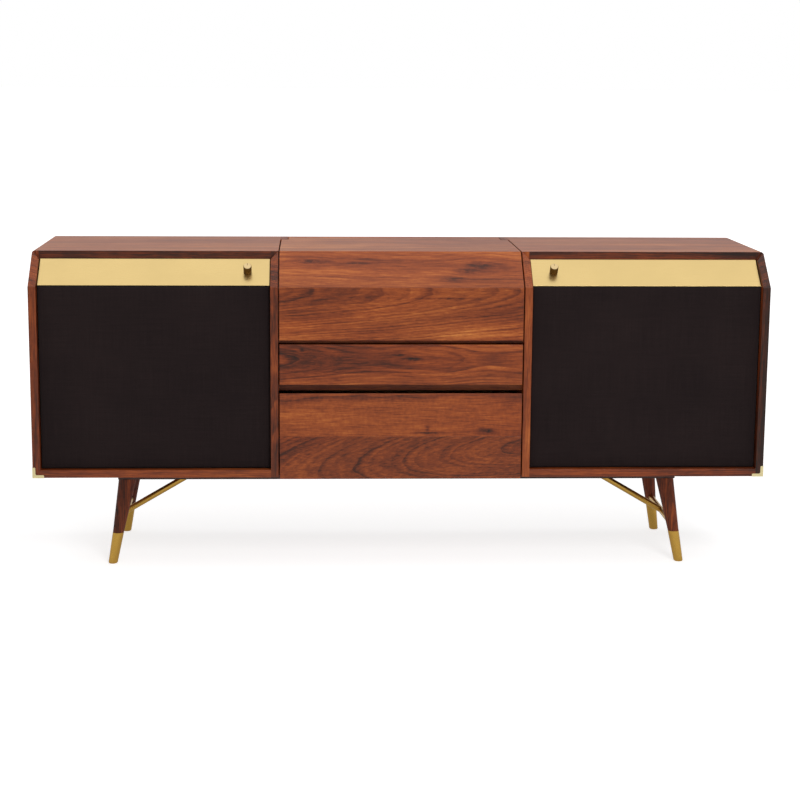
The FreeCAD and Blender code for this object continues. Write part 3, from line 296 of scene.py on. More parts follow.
# ---------------------------------------------------------------- other materials
def metal(name, colour, rough, brushed=None, cross=None, scratch=0.05):
    """Metal with fine lines along one direction, or a plain satin surface."""
    s = Shader(name)
    point = s.place()
    if brushed:
        fine = s.noise(s.vector(s.times(s.along(point, brushed), 14.0),
                                s.times(s.along(point, cross), 1500.0),
                                s.times(s.along(point, brushed.cross(cross)), 1500.0)), 3.0, 0.7).outputs[0]
    else:
        fine = s.noise(point, 4.0, 0.65, 320.0).outputs[0]
    cloud = s.noise(point, 3.0, 0.55, 7.0).outputs[0]
    warm = tuple(value * 0.90 for value in colour[:3]) + (1.0,)
    s.set(base_color=s.mix(s.span(cloud, 0.25, 0.75, 0.0, 0.5), colour, warm),
          metallic=1.0,
          roughness=s.plus(s.span(fine, 0.2, 0.8, rough - 0.05, rough + 0.06, "LINEAR"),
                           s.span(cloud, 0.3, 0.8, -0.02, 0.03, "LINEAR")))
    s.bump(fine, scratch, 0.0002)
    return s.material


def dull(name, colour, rough, grain=400.0, relief=0.15, coat=0.0, sheen=0.0):
    """Painted, moulded or rubber surface with a fine grain and a slow change of shade."""
    s = Shader(name)
    point = s.place()
    fine = s.noise(point, 3.0, 0.6, grain).outputs[0]
    cloud = s.noise(point, 3.0, 0.55, 9.0).outputs[0]
    lighter = tuple(min(1.0, value * 1.25 + 0.002) for value in colour[:3]) + (1.0,)
    s.set(base_color=s.mix(s.span(cloud, 0.3, 0.75), colour, lighter),
          roughness=s.span(fine, 0.2, 0.8, rough - 0.06, rough + 0.06, "LINEAR"),
          coat_weight=coat, coat_roughness=0.12, sheen_weight=sheen)
    s.bump(fine, relief, 0.0003)
    return s.material


def cloth_material():
    """Plain weave of dark threads, a little uneven, with a faint slub here and there."""
    s = Shader("speaker_cloth")
    point = s.place()
    pitch = 2 * pi / 0.0016
    x = s.times(s.along(point, X), pitch)
    z = s.times(s.along(point, Z), pitch)
    warp = s.math("SINE", x)
    weft = s.math("SINE", z)
    over = s.math("SIGN", s.math("SINE", s.times(x, 0.5)))
    under = s.math("SIGN", s.math("SINE", s.times(z, 0.5)))
    check = s.span(s.times(over, under), -1.0, 1.0, 0.0, 1.0, "LINEAR")
    height = s.plus(s.times(s.math("ABSOLUTE", warp), check),
                    s.times(s.math("ABSOLUTE", weft), s.plus(1.0, s.times(check, -1.0))))
    slub_x = s.noise(s.vector(s.times(s.along(point, X), 9.0), s.times(s.along(point, Z), 420.0), 0.0),
                     2.0).outputs[0]
    slub_z = s.noise(s.vector(s.times(s.along(point, X), 420.0), s.times(s.along(point, Z), 9.0), 4.0),
                     2.0).outputs[0]
    cloud = s.noise(point, 2.0, 0.5, 6.0).outputs[0]
    shade = s.plus(s.times(height, 0.35), s.times(s.plus(slub_x, slub_z), 0.28), s.times(cloud, 0.25))
    colour = s.ramp(shade, [(0.12, srgb(13, 8, 8)), (0.55, srgb(28, 19, 20)), (0.95, srgb(46, 34, 33))])
    s.set(base_color=colour, roughness=0.88, specular_ior_level=0.12, sheen_weight=0.05,
          sheen_roughness=0.5)
    s.bump(height, 0.5, 0.0004)
    return s.material


BRASS = srgb(213, 186, 127)
DEEP_BRASS = srgb(203, 160, 76)
slope_angle = atan2(SLOPE_RISE, SLOPE_DEPTH)
UP_SLOPE = Vector((0, cos(slope_angle), sin(slope_angle)))
SLOPE_OUT = Vector((0, -sin(slope_angle), cos(slope_angle)))

fascia_brass = metal("fascia_brass", BRASS, 0.30, X, UP_SLOPE, scratch=0.06)
leg_brass = metal("leg_brass", DEEP_BRASS, 0.27, Z, X, scratch=0.05)
cap_brass = metal("cap_brass", srgb(238, 222, 170), 0.32, scratch=0.04)
hinge_brass = metal("hinge_brass", DEEP_BRASS, 0.33, X, Z)
bronze = metal("knob_bronze", srgb(112, 84, 46), 0.34, scratch=0.05)
knob_face_brass = metal("knob_face_brass", srgb(212, 186, 138), 0.30, scratch=0.03)
steel = metal("brushed_steel", srgb(196, 196, 198), 0.30, X, Z)
chrome = metal("polished_steel", srgb(225, 226, 228), 0.12, scratch=0.02)
satin_aluminium = metal("satin_aluminium", srgb(216, 217, 220), 0.33, scratch=0.04)
dark_steel = dull("black_steel", srgb(30, 25, 23), 0.5, grain=900.0)
black_board = dull("black_board", srgb(24, 22, 22), 0.75, grain=260.0, relief=0.3)
black_plastic = dull("black_plastic", srgb(28, 28, 29), 0.42, grain=1400.0)
lacquer = dull("black_lacquer", srgb(22, 21, 22), 0.28, grain=2000.0, relief=0.03, coat=0.5)
rubber = dull("black_rubber", srgb(26, 26, 26), 0.72, grain=1600.0, relief=0.2)
paper = dull("cone_paper", srgb(38, 37, 36), 0.85, grain=500.0, relief=0.5)
red_plastic = dull("red_plastic", srgb(150, 26, 22), 0.4, grain=1400.0)
white_paint = dull("white_paint", srgb(225, 223, 216), 0.5, grain=1400.0)
felt = dull("grey_felt", srgb(62, 58, 56), 0.95, grain=900.0, relief=0.6, sheen=0.3)
speaker_cloth = cloth_material()
back_veneer = wood("back_veneer", Z, X, pith=(0.0, 0.35), lean=0.05, ring=9, tone=0.10, gloss=0.55,
                   coat=0.0, seed=51)
drawer_oak = wood("drawer_oak", Y, Z, pith=(0.3, 0.4), bands=0.3, palette=OAK, gloss=0.5, coat=0.0, seed=31)
leg_walnut = wood("leg_walnut", Z, X, pith=(0.4, 0.5), tone=0.24, seed=14, gloss=0.62, coat=0.0)
frame_paint = dull("frame_paint", srgb(58, 27, 17), 0.55, grain=900.0)


# ---------------------------------------------------------------- piece building
def piece(name, bm, body, materials, sharp=30.0):
    """A new mesh that rides on a body. Faces whose neighbours turn more than sharp stay crisp."""
    mesh = bpy.data.meshes.new(name)
    bm.normal_update()
    bm.to_mesh(mesh)
    bm.free()
    mesh.shade_smooth()
    mesh.set_sharp_from_angle(angle=radians(sharp))
    obj = bpy.data.objects.new(name, mesh)
    bpy.context.scene.collection.objects.link(obj)
    for material in materials if isinstance(materials, (list, tuple)) else [materials]:
        mesh.materials.append(material)
    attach(obj, body)
    return obj


def basis(base, direction):
    """The placing of a local frame whose Z runs along a direction."""
    turn = Vector(direction).normalized().to_track_quat("Z", "Y").to_matrix().to_4x4()
    return Matrix.Translation(Vector(base)) @ turn


def lathe(bm, profile, place, steps=64, flutes=0, depth=0.0, fluted=()):
    """Turns (radius, height) points about the local Z, with flutes cut in the named rows."""
    rings = []
    for row, (radius, height) in enumerate(profile):
        if radius < 1e-7:
            rings.append([bm.verts.new(place @ Vector((0, 0, height)))])
            continue
        ring = []
        for step in range(steps):
            angle = 2 * pi * step / steps
            dip = depth * (0.5 - 0.5 * cos(angle * flutes)) if flutes and row in fluted else 0.0
            reach = radius - dip
            ring.append(bm.verts.new(place @ Vector((reach * cos(angle), reach * sin(angle), height))))
        rings.append(ring)
    faces = []
    for low, high in zip(rings, rings[1:]):
        for step in range(steps):
            after = (step + 1) % steps
            corners = [low[step % len(low)], low[after % len(low)], high[after % len(high)],
                       high[step % len(high)]]
            unique = list(dict.fromkeys(corners))
            if len(unique) > 2:
                faces.append(bm.faces.new(unique))
    return faces


def turned(name, profile, base, direction, body, material, slot=None, **shape):
    bm = bmesh.new()
    lathe(bm, profile, basis(base, direction), **shape)
    return piece(name, bm, body, material)


WELD = 2e-5                     # points nearer than this become one
FLAT = radians(0.4)             # faces that turn less than this become one


def join_flats(bm):
    """Welds the points of a triangulated mesh and joins its flat faces."""
    bmesh.ops.remove_doubles(bm, verts=bm.verts[:], dist=WELD)
    bmesh.ops.dissolve_limit(bm, angle_limit=FLAT, verts=bm.verts[:], edges=bm.edges[:])


def mitred(face):
    """Whether a face is a mitre's, whose edges stay sharp so that the joint doesn't show."""
    normal = face.normal
    return abs(normal.y) < 0.05 and min(abs(normal.x), abs(normal.z)) > 0.3


def eased(node, width, parts, key=None, ends=()):
    """Replaces a CAD node's boards by clean meshes with softened edges, one piece for each.

    parts is a list of (name, material), and key tells which part a point inside belongs to.
    A part may name three more materials: of its front edge, and of that edge left and right
    of the two planes in ends, where a side board runs past it.
    """
    source = frame["nodes"][node].data
    inside, crisp_turn = 0.002, radians(28)
    body = frame["nodes"][node]["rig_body"]
    made = []
    for index, (name, *materials) in enumerate(parts):
        bm = bmesh.new()
        bm.from_mesh(source)
        bm.normal_update()
        if key:
            others = [face for face in bm.faces
                      if key(face.calc_center_median() - face.normal * inside) != index]
            bmesh.ops.delete(bm, geom=others, context="FACES")
        join_flats(bm)
        crisp = [edge for edge in bm.edges if len(edge.link_faces) == 2
                 and edge.calc_face_angle() > crisp_turn
                 and not any(mitred(face) for face in edge.link_faces)]
        bmesh.ops.bevel(bm, geom=crisp, offset=width, segments=2, profile=0.5, affect="EDGES",
                        clamp_overlap=True)
        if len(materials) > 1:
            low, high = sorted(ends[index])
            for plane in (low, high):
                bmesh.ops.bisect_plane(bm, geom=bm.verts[:] + bm.edges[:] + bm.faces[:],
                                       plane_co=(plane, 0, 0), plane_no=(1, 0, 0))
            bm.normal_update()
            for face in bm.faces:
                if face.normal.y < -0.3:
                    x = face.calc_center_median().x
                    face.material_index = 2 if x < low else 3 if x > high else 1
        made.append(piece(name, bm, body, materials, 10.0))
    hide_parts(node)
    return made


def paint(material, *nodes):
    """Gives CAD nodes that keep their own shape a finished material."""
    for node in nodes:
        mesh = frame["nodes"][node].data
        mesh.materials.clear()
        mesh.materials.append(material)


# ---------------------------------------------------------------- walnut case
def right_side(point):
    return int(point.x > 0)


def case_boards():
    """Every board of the case, each cut from timber of its own."""
    sides = [wood("side_walnut_left", Z, Y, pith=(0.0, 0.98), lean=0.10, tone=0.24, seed=4.0),
             wood("side_walnut_right", Z, Y, pith=(0.05, -0.98), lean=-0.08, tone=0.30, seed=9.0)]
    inners = [wood("inner_walnut_left", Z, X, pith=(-0.35, 0.18), lean=0.03, wave=9, tone=0.20, bands=0.6,
                   seed=12.0),
              wood("inner_walnut_right", Z, X, pith=(0.40, 0.15), tone=0.04, seed=17.0)]
    # The tops' lighter tone is partly the walnut's own and partly painted light: it stands in for the
    # overhead light and the sheen on the top faces.
    tops = [wood("top_walnut_painted_light_left", X, Y, pith=(0.35, 0.2), drift=0.02, tone=-0.13, coat=0.24, seed=2.0),
            wood("top_walnut_painted_light_right", X, Y, pith=(-0.3, 0.2), drift=-0.015, tone=-0.08, coat=0.24, seed=7.5)]
    edges = [wood("top_edge_walnut_left", X, Z, pith=(0.6, 0.2), tone=0.34, seed=5.0),
             wood("top_edge_walnut_right", X, Z, pith=(0.6, 0.1), tone=0.34, wave=9, seed=6.0)]
    rims = [wood("side_edge_walnut_left", Z, X, pith=(-0.7, 0.3), tone=0.12, seed=8.0),
            wood("side_edge_walnut_right", Z, X, pith=(0.7, 0.3), tone=0.40, seed=8.5)]
    floors = [wood("floor_walnut_left", X, Z, pith=(0.1, 0.3), tone=0.16, seed=21.0),
              wood("floor_walnut_middle", X, Y, pith=(0.1, 0.3), tone=0.10, seed=22.0),
              wood("floor_walnut_right", X, Z, pith=(0.5, 0.3), tone=0.24, seed=23.0)]
    outer, inner = HALF_WIDTH - BOARD, BAY_HALF + BOARD
    bay = BAY_HALF - 0.0002         # a little inside the middle board's ends
    ends = [(-outer, -inner), (inner, outer)]
    eased("top_boards", 0.0006,
          [("top_board_left", tops[0], edges[0], rims[0], inners[0]),
           ("top_board_right", tops[1], edges[1], inners[1], rims[1])], right_side, ends)
    eased("outer_side_panels", 0.0006, [("outer_side_left", sides[0], rims[0]),
                                        ("outer_side_right", sides[1], rims[1])],
          right_side, [(-2, 2), (-2, 2)])
    eased("inner_side_panels", 0.0006, [("inner_side_left", inners[0]), ("inner_side_right", inners[1])],
          right_side)
    eased("bottom_boards", 0.0006,
          [("bottom_board_left", floors[0], floors[0], rims[0], inners[0]),
           ("bottom_board_middle", floors[1]),
           ("bottom_board_right", floors[2], floors[2], inners[1], rims[1])],
          lambda point: 0 if point.x < -bay else 2 if point.x > bay else 1,
          [ends[0], (), ends[1]])
    # Lighter tone like the tops': partly the walnut's own and partly painted light for the overhead light and
    # sheen.
    rail = wood("rail_walnut_painted_light", X, Y, pith=(0.5, 0.5), tone=-0.10, seed=26.0)
    eased("hinge_rail", 0.0006, [("rear_rail", rail)])
    paint(wood("liner_walnut", Y, Z, pith=(0.5, 0.7), tone=0.10, seed=28.0),
          "bay_liners")
    paint(wood("shelf_walnut", X, Y, pith=(0.2, 0.5), tone=0.06, seed=29.0), "bay_shelves")
    paint(leg_walnut, "legs")


def lid_boards():
    """The three boards of the lid; the sloping one has a dark streak and a knotty patch."""
    # The lid top's lighter tone is partly the walnut's own and partly painted light: it stands in for the
    # overhead light and the sheen on its top face.
    top = wood("lid_top_walnut_painted_light", X, Y, pith=(0.10, 0.2), ring=4, drift=0.01, tone=-0.15, bands=0.5,
               coat=0.18, seed=33.0)
    crease = Vector((0, FRONT_Y, CREASE_Z)).dot(UP_SLOPE)
    slope = wood("lid_slope_walnut", X, UP_SLOPE, pith=(crease + 0.25, 0.2), drift=-0.012, ring=5,
                 tone=-0.04, bands=0.54, seed=36.0,
                 knots=[(-0.225, crease + 0.088, 0.050, 0.0075, 0.44, 0.6),
                        (-0.105, crease + 0.081, 0.034, 0.0034, 0.30, 0.4),
                        (0.195, crease + 0.072, 0.034, 0.014, 0.30, 0.3),
                        (0.163, crease + 0.052, 0.030, 0.012, 0.36, 0.2),
                        (0.124, crease + 0.028, 0.026, 0.009, 0.36, 0.1),
                        (0.236, crease + 0.082, 0.030, 0.010, 0.16, 0.3)])
    front = wood("lid_front_walnut", X, Z, pith=(0.722, 0.178), lean=0.10, drift=0.015, ring=5.5,
                 wave=2.6, tone=0.0, bands=0.52, lines=0.26, seed=38.0,
                 knots=[(0.105, 0.7015, 0.060, 0.0020, 0.40, 0.5),
                        (-0.008, 0.714, 0.020, 0.010, 0.16, 0.5),
                        (-0.075, 0.704, 0.018, 0.008, 0.08, 0.5),
                        (0.200, 0.612, 0.140, 0.0120, -0.20, 0.0)])
    eased("lid_top_board", 0.0006, [("lid_top", top)])
    eased("lid_slope_board", 0.0004, [("lid_slope", slope)])
    eased("lid_front_board", 0.0005, [("lid_front", front)])


def drawer_boards():
    """The upper drawer's front with its knot, and the lower one's, glued up from two boards."""
    upper = wood("upper_drawer_walnut", X, Z, pith=(0.550, 0.193), lean=0.030, ring=5, wave=1.8,
                 tone=0.04, bands=0.74, lines=0.28, seed=41.5,
                 swells=[(-0.105, 0.16, 0.012), (0.21, 0.09, 0.008)],
                 knots=[(0.024, 0.5510, 0.024, 0.0055, 0.50, 0.6), (-0.006, 0.5620, 0.014, 0.0036, 0.38, 0.3),
                        (-0.245, 0.5745, 0.006, 0.0040, 0.34, 0.5), (-0.110, 0.541, 0.020, 0.0025, 0.20, 0.2),
                        (-0.150, 0.513, 0.110, 0.0040, -0.20, 0.0), (0.080, 0.515, 0.120, 0.0045, -0.22, 0.0),
                        (0.240, 0.531, 0.060, 0.0040, -0.20, 0.0)])
    eased("upper_drawer_front", 0.0008, [("upper_front", upper)])
    high = wood("lower_drawer_walnut_high", X, Z, pith=(0.40, -0.1), lean=-0.01, drift=0.004, ring=5,
                tone=0.09, bands=0.44, streaks=0.40, curl=0.14, seed=44.0,
                knots=[(0.070, 0.3665, 0.040, 0.0030, 0.50, 0.0), (0.066, 0.3770, 0.006, 0.0090, 0.38, 0.0),
                       (0.215, 0.3710, 0.017, 0.0060, 0.50, 0.6)])
    low = wood("lower_drawer_walnut_low", X, Z, pith=(0.295, 0.170), lean=-0.20, drift=0.12, ring=6,
               wave=2.4, tone=0.12, bands=0.40, lines=0.18, seed=47.0,
               knots=[(-0.230, 0.312, 0.008, 0.0022, 0.26, 0.5)])
    eased("lower_drawer_front", 0.0005, [("lower_front_low", low), ("lower_front_high", high)],
          lambda point: int(point.z > LOWER_SEAM))
    paint(drawer_oak, "upper_drawer_box", "lower_drawer_box")


def ferrules():
    """The brass feet, rounded where they meet the floor."""
    ground, rounding = 0.0005, 0.0034
    bm = bmesh.new()
    bm.from_mesh(frame["nodes"]["leg_ferrules"].data)
    join_flats(bm)
    rims = [edge for edge in bm.edges if max(vert.co.z for vert in edge.verts) < ground]
    bmesh.ops.bevel(bm, geom=rims, offset=rounding, segments=4, profile=0.5, affect="EDGES",
                    clamp_overlap=True)
    feet = piece("brass_feet", bm, "root", leg_brass)
    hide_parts("leg_ferrules")


# ---------------------------------------------------------------- speaker grilles
CLOTH_ROUND = 0.003             # the cloth's bend over the frame's edges
CLOTH_SAG = 0.0004              # how far its middle stands back


def grille_cloth(side):
    """Cloth stretched over the grille frame and folded back along its four sides."""
    low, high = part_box("grille_cloth_" + side)
    bm = bmesh.new()
    across, up, bends = 60, 48, 6

    def line(start, end, count, reach):
        """A run round one edge, over the face and round the other: (place, depth behind it)."""
        points = [(start, reach), (start, CLOTH_ROUND + (reach - CLOTH_ROUND) / 2)]
        for step in range(bends + 1):
            angle = pi / 2 * step / bends
            points.append((start + CLOTH_ROUND * (1 - cos(angle)), CLOTH_ROUND * (1 - sin(angle))))
        inner, outer = start + CLOTH_ROUND, end - CLOTH_ROUND
        points += [(inner + (outer - inner) * step / count, 0.0) for step in range(1, count)]
        for step in range(bends + 1):
            angle = pi / 2 * step / bends
            points.append((end - CLOTH_ROUND * (1 - sin(angle)), CLOTH_ROUND * (1 - cos(angle))))
        return points + [(end, CLOTH_ROUND + (reach - CLOTH_ROUND) / 2), (end, reach)]

    reach = high.y - low.y
    columns = line(low.x, high.x, across, reach)
    rows = line(low.z, high.z, up, reach)
    grid = []
    for z, back_z in rows:
        ring = []
        for x, back_x in columns:
            hollow = CLOTH_SAG * sin(pi * (x - low.x) / (high.x - low.x)) * sin(
                pi * (z - low.z) / (high.z - low.z))
            back = min(reach, (back_x ** 3 + back_z ** 3) ** (1 / 3)) if back_x and back_z \
                else max(back_x, back_z)
            ring.append(bm.verts.new((x, low.y + back + hollow, z)))
        grid.append(ring)
    for first, second in zip(grid, grid[1:]):
        for step in range(len(first) - 1):
            bm.faces.new((first[step], first[step + 1], second[step + 1], second[step]))
    cloth = piece("speaker_cloth_" + side, bm, "grille_" + side, speaker_cloth, 60.0)
    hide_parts("grille_cloth_" + side)


# ---------------------------------------------------------------- knobs on the fascias
def control_knob(body):
    """Fluted bronze knob with a bright turned face and a pointer line."""
    joint = next(j for j in frame["joints"] if j["child"] == body)
    base = Vector(joint["pos_m"])
    foot, top, radius = 0.0006, 0.0230, 0.0100
    profile = [(0.0070, foot), (0.0090, foot), (radius - 0.0003, foot + 0.0008), (radius, foot + 0.0018),
               (radius, top - 0.0020), (radius - 0.0006, top - 0.0010)]
    bm = bmesh.new()
    lathe(bm, profile, basis(base, SLOPE_OUT), steps=240, flutes=48, depth=0.00045, fluted=(3, 4))
    grip = piece(body + "_grip", bm, body, bronze, 40.0)
    face = [(radius - 0.0006, top - 0.0010), (radius - 0.0012, top - 0.0003), (radius - 0.0024, top),
            (radius - 0.0034, top - 0.0002), (0.0020, top - 0.0002), (0.0, top - 0.0002)]
    turned(body + "_face", face, base, SLOPE_OUT, body, knob_face_brass, "brass", steps=96)
    bm = bmesh.new()
    size = Matrix.Diagonal((0.0011, 0.0060, 0.0003, 1.0))
    place = basis(base, SLOPE_OUT) @ Matrix.Translation((0, 0.0048, top)) @ size
    bmesh.ops.create_cube(bm, size=1.0, matrix=place)
    bmesh.ops.bevel(bm, geom=bm.edges[:], offset=0.0001, segments=1, affect="EDGES")
    piece(body + "_pointer", bm, body, bronze)
    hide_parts(body)


# ---------------------------------------------------------------- record deck
def mat_centre():
    """Where the platter's axis crosses the underside of its mat."""
    low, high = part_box("platter_mat")
    return Vector(((low.x + high.x) / 2, (low.y + high.y) / 2, low.z))


def ribbed_mat():
    """Rubber mat with concentric ribs outside the label's area."""
    low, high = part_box("platter_mat")
    outer, thick = (high.x - low.x) / 2, high.z - low.z
    profile = [(0.0038, 0.0), (0.0038, thick - 0.0012), (0.050, thick - 0.0012), (0.0515, thick)]
    ribs = 26
    first, last = 0.0530, outer - 0.006
    for rib in range(ribs):
        at = first + (last - first) * rib / (ribs - 1)
        profile += [(at, thick), (at + 0.0006, thick - 0.0010), (at + 0.0014, thick - 0.0010),
                    (at + 0.0020, thick)]
    profile += [(outer - 0.0012, thick), (outer, thick - 0.001), (outer, 0.0)]
    mat = turned("ribbed_mat", profile, mat_centre(), Z, "platter", rubber, "rubber", steps=160)
    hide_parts("platter_mat")


def strobe_dots():
    """Three rows of dots round the platter's rim, each row with six fewer than the last."""
    low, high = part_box("platter")
    centre = mat_centre()
    radius, height = (high.x - low.x) / 2, high.z - low.z
    bm = bmesh.new()
    for row, level in enumerate((0.30, 0.52, 0.74)):
        dots = 150 - 6 * row
        for index in range(dots):
            angle = 2 * pi * index / dots
            out = Vector((cos(angle), sin(angle), 0))
            spot = centre + out * (radius - 0.00005) + Z * (low.z + height * level - centre.z)
            lathe(bm, [(0.0011, -0.0002), (0.0011, 0.0), (0.0, 0.00004)], basis(spot, out), steps=8)
    piece("strobe_dots", bm, "platter", chrome)


def speed_knob():
    """Fluted cap with a pointer, and three marks for it on the deck."""
    speed_low, speed_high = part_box("speed_knob")
    middle = (speed_low + speed_high) / 2
    deck_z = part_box("turntable_plinth")[1].z
    bm = bmesh.new()
    for angle in (-45, 0, 45):
        out = Vector((sin(radians(angle)), -cos(radians(angle)), 0))
        spot = Vector((middle.x, middle.y, deck_z)) + out * 0.022
        lathe(bm, [(0.0016, 0.0), (0.0016, 0.0003), (0.0, 0.0003)], basis(spot, Z), steps=16)
    piece("speed_marks", bm, "root", white_paint)

    top = speed_high.z
    grip = [(0.0150, deck_z + 0.0005), (0.0160, deck_z + 0.0012), (0.0160, top - 0.0025),
            (0.0146, top - 0.0005), (0.0130, top), (0.0120, top - 0.0004), (0.0, top - 0.0004)]
    cap = turned("speed_cap", [(r, z - deck_z) for r, z in grip],
                 (middle.x, middle.y, deck_z), Z, "speed_knob", black_plastic, "black_plastic",
                 steps=180, flutes=36, depth=0.0006, fluted=(1, 2))
    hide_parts("speed_knob")
    bm = bmesh.new()
    place = Matrix.Translation((middle.x, middle.y - 0.0088, top - 0.0002)) @ Matrix.Diagonal(
        (0.0014, 0.0070, 0.0005, 1.0))
    bmesh.ops.create_cube(bm, size=1.0, matrix=place)
    bmesh.ops.bevel(bm, geom=bm.edges[:], offset=0.00012, segments=1, affect="EDGES")
    piece("speed_pointer", bm, "speed_knob", white_paint)


def counterweight():
    """Turned weight with a knurled band and a ring of generic scale marks."""
    low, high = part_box("counterweight")
    centre = Vector(((low.x + high.x) / 2, low.y, (low.z + high.z) / 2))
    radius, length = (high.x - low.x) / 2, high.y - low.y
    bore = 0.00505
    profile = [(bore, 0.0), (radius - 0.003, 0.0), (radius - 0.0015, 0.0008), (radius - 0.0015, 0.0050),
               (radius - 0.0006, 0.0056), (radius, 0.0064), (radius, length - 0.0090),
               (radius - 0.0006, length - 0.0080), (radius - 0.0006, length - 0.0015),
               (radius - 0.0020, length), (bore, length), (bore, 0.0)]
    weight = turned("knurled_weight", profile, centre, Y, "counterweight", chrome, "steel",
                    steps=240, flutes=60, depth=0.0005, fluted=(5, 6))
    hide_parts("counterweight")
    bm = bmesh.new()
    marks = 20
    for index in range(marks):
        angle = 2 * pi * index / marks
        out = Vector((cos(angle), 0, sin(angle)))
        size = Matrix.Diagonal((0.0005, 0.0030 if index % 5 else 0.0040, 0.0002, 1.0))
        place = Matrix.Translation(centre + Y * 0.0028 + out * (radius - 0.00145))
        turn = out.to_track_quat("Z", "Y").to_matrix().to_4x4()
        bmesh.ops.create_cube(bm, size=1.0, matrix=place @ turn @ size)
    piece("weight_marks", bm, "counterweight", black_plastic)


# ---------------------------------------------------------------- back and small hardware
def screw_heads(name, places, direction, body, material, radius=0.0036):
    """Countersunk heads with a cross slot, turned by differing amounts."""
    bm = bmesh.new()
    for number, spot in enumerate(places):
        place = basis(spot, direction) @ Matrix.Rotation(radians(37 * number), 4, "Z")
        lathe(bm, [(radius, -0.0002), (radius, 0.0002), (radius * 0.86, 0.0007), (radius * 0.5, 0.0010),
                   (0.0, 0.0011)], place, steps=24)
        for turn in (0, 90):
            size = Matrix.Diagonal((radius * 1.1, radius * 0.22, 0.0010, 1.0))
            cross = place @ Matrix.Rotation(radians(turn), 4, "Z") @ Matrix.Translation((0, 0, 0.0009))
            bmesh.ops.create_cube(bm, size=1.0, matrix=cross @ size)
    return piece(name, bm, body, material)


def back_details():
    """Screws round the back panels and the coloured collars of the sockets."""
    low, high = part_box("back_panels")
    face = high.y
    inset = 0.010
    places = []
    for start, end in ((low.x, -BAY_HALF - BOARD), (-BAY_HALF, BAY_HALF), (BAY_HALF + BOARD, high.x)):
        bottom = low.z if start == -BAY_HALF else low.z + BOARD
        top = RAIL_BOTTOM if start == -BAY_HALF else high.z
        for x in (start + inset, (start + end) / 2, end - inset):
            places += [(x, face, bottom + inset), (x, face, top - inset)]
        for share in (0.33, 0.67):
            z = bottom + (top - bottom) * share
            places += [(start + inset, face, z), (end - inset, face, z)]
    screw_heads("back_screws", places, Y, "root", steel)

    plate_low, plate_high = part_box("terminal_plate")
    face = BACK_Y + 0.002           # the plate is 2 mm thick
    corners = [(x, face, z) for x in (plate_low.x + 0.006, plate_high.x - 0.006)
               for z in (plate_low.z + 0.006, plate_high.z - 0.006)]
    screw_heads("plate_screws", corners, Y, "root", steel, radius=0.0028)
    middle_z = (plate_low.z + plate_high.z) / 2
    collars = {"red_collars": (bmesh.new(), red_plastic), "black_collars": (bmesh.new(), black_plastic),
               "phono_shells": (bmesh.new(), chrome)}
    first, apart, rise = 0.026, 0.024, 0.015
    for column in range(4):
        x = plate_low.x + first + column * apart
        for row, side in enumerate((-1, 1)):
            spot = (x, face, middle_z + side * rise)
            phono = column > 1
            radius, height = (0.0042, 0.0056) if phono else (0.0072, 0.0056)
            name = "phono_shells" if phono else ("red_collars", "black_collars")[row]
            rim = [(radius * 0.55, 0.0), (radius + 0.0004, 0.0), (radius + 0.0004, height - 0.0012),
                   (radius, height), (radius * 0.72, height), (radius * 0.6, height - 0.0006),
                   (0.0, height - 0.0006)]
            lathe(collars[name][0], rim, basis(spot, Y), steps=72, flutes=0 if phono else 18,
                  depth=0.0005, fluted=(1, 2))
    for name, (bm, material) in collars.items():
        piece(name, bm, "root", material)


def felt_pads():
    """Felt laid in the bottoms of the drawers."""
    thick, play = 0.0014, 0.001
    for body, node in (("upper_drawer", "upper_drawer_box"), ("lower_drawer", "lower_drawer_box")):
        low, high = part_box(node)
        bm = bmesh.new()
        size = Matrix.Diagonal((2 * DRAWER_INSIDE - play, high.y - low.y - DRAWER_BOARD - play, thick, 1.0))
        place = Matrix.Translation((0, (low.y + high.y - DRAWER_BOARD) / 2,
                                    low.z + DRAWER_BASE + thick / 2))
        bmesh.ops.create_cube(bm, size=1.0, matrix=place @ size)
        bmesh.ops.bevel(bm, geom=bm.edges[:], offset=0.0005, segments=2, affect="EDGES")
        piece(body + "_felt", bm, body, felt)


def finish_cad_nodes():
    """Materials of the CAD nodes that keep their own shape."""
    paint(frame_paint, "base_rails")
    paint(dark_steel, "amplifier_case", "woofer_baskets", "drawer_channels")
    paint(leg_brass, "leg_braces")
    paint(steel, "control_potentiometers", "strut_carcass_brackets", "strut_lid_brackets", "motor",
          "hinge_pin")
    paint(black_board, "speaker_baffles", "grille_frame_left", "grille_frame_right")
    paint(paper, "woofer_cones")
    paint(black_plastic, "tweeters", "terminal_plate", "arm_rest", "headshell")
    paint(back_veneer, "back_panels")
    paint(hinge_brass, "hinge_fixed_leaf", "hinge_lid_leaf", "platter_bearing", "motor_pulley")
    paint(lacquer, "turntable_plinth", "strut_tubes")
    paint(rubber, "isolation_feet", "drive_belt")
    paint(chrome, "strut_rods", "platter_spindle", "cue_lifter")
    paint(satin_aluminium, "platter", "tonearm_base", "tonearm_gimbal", "tonearm_tube", "cue_lever")


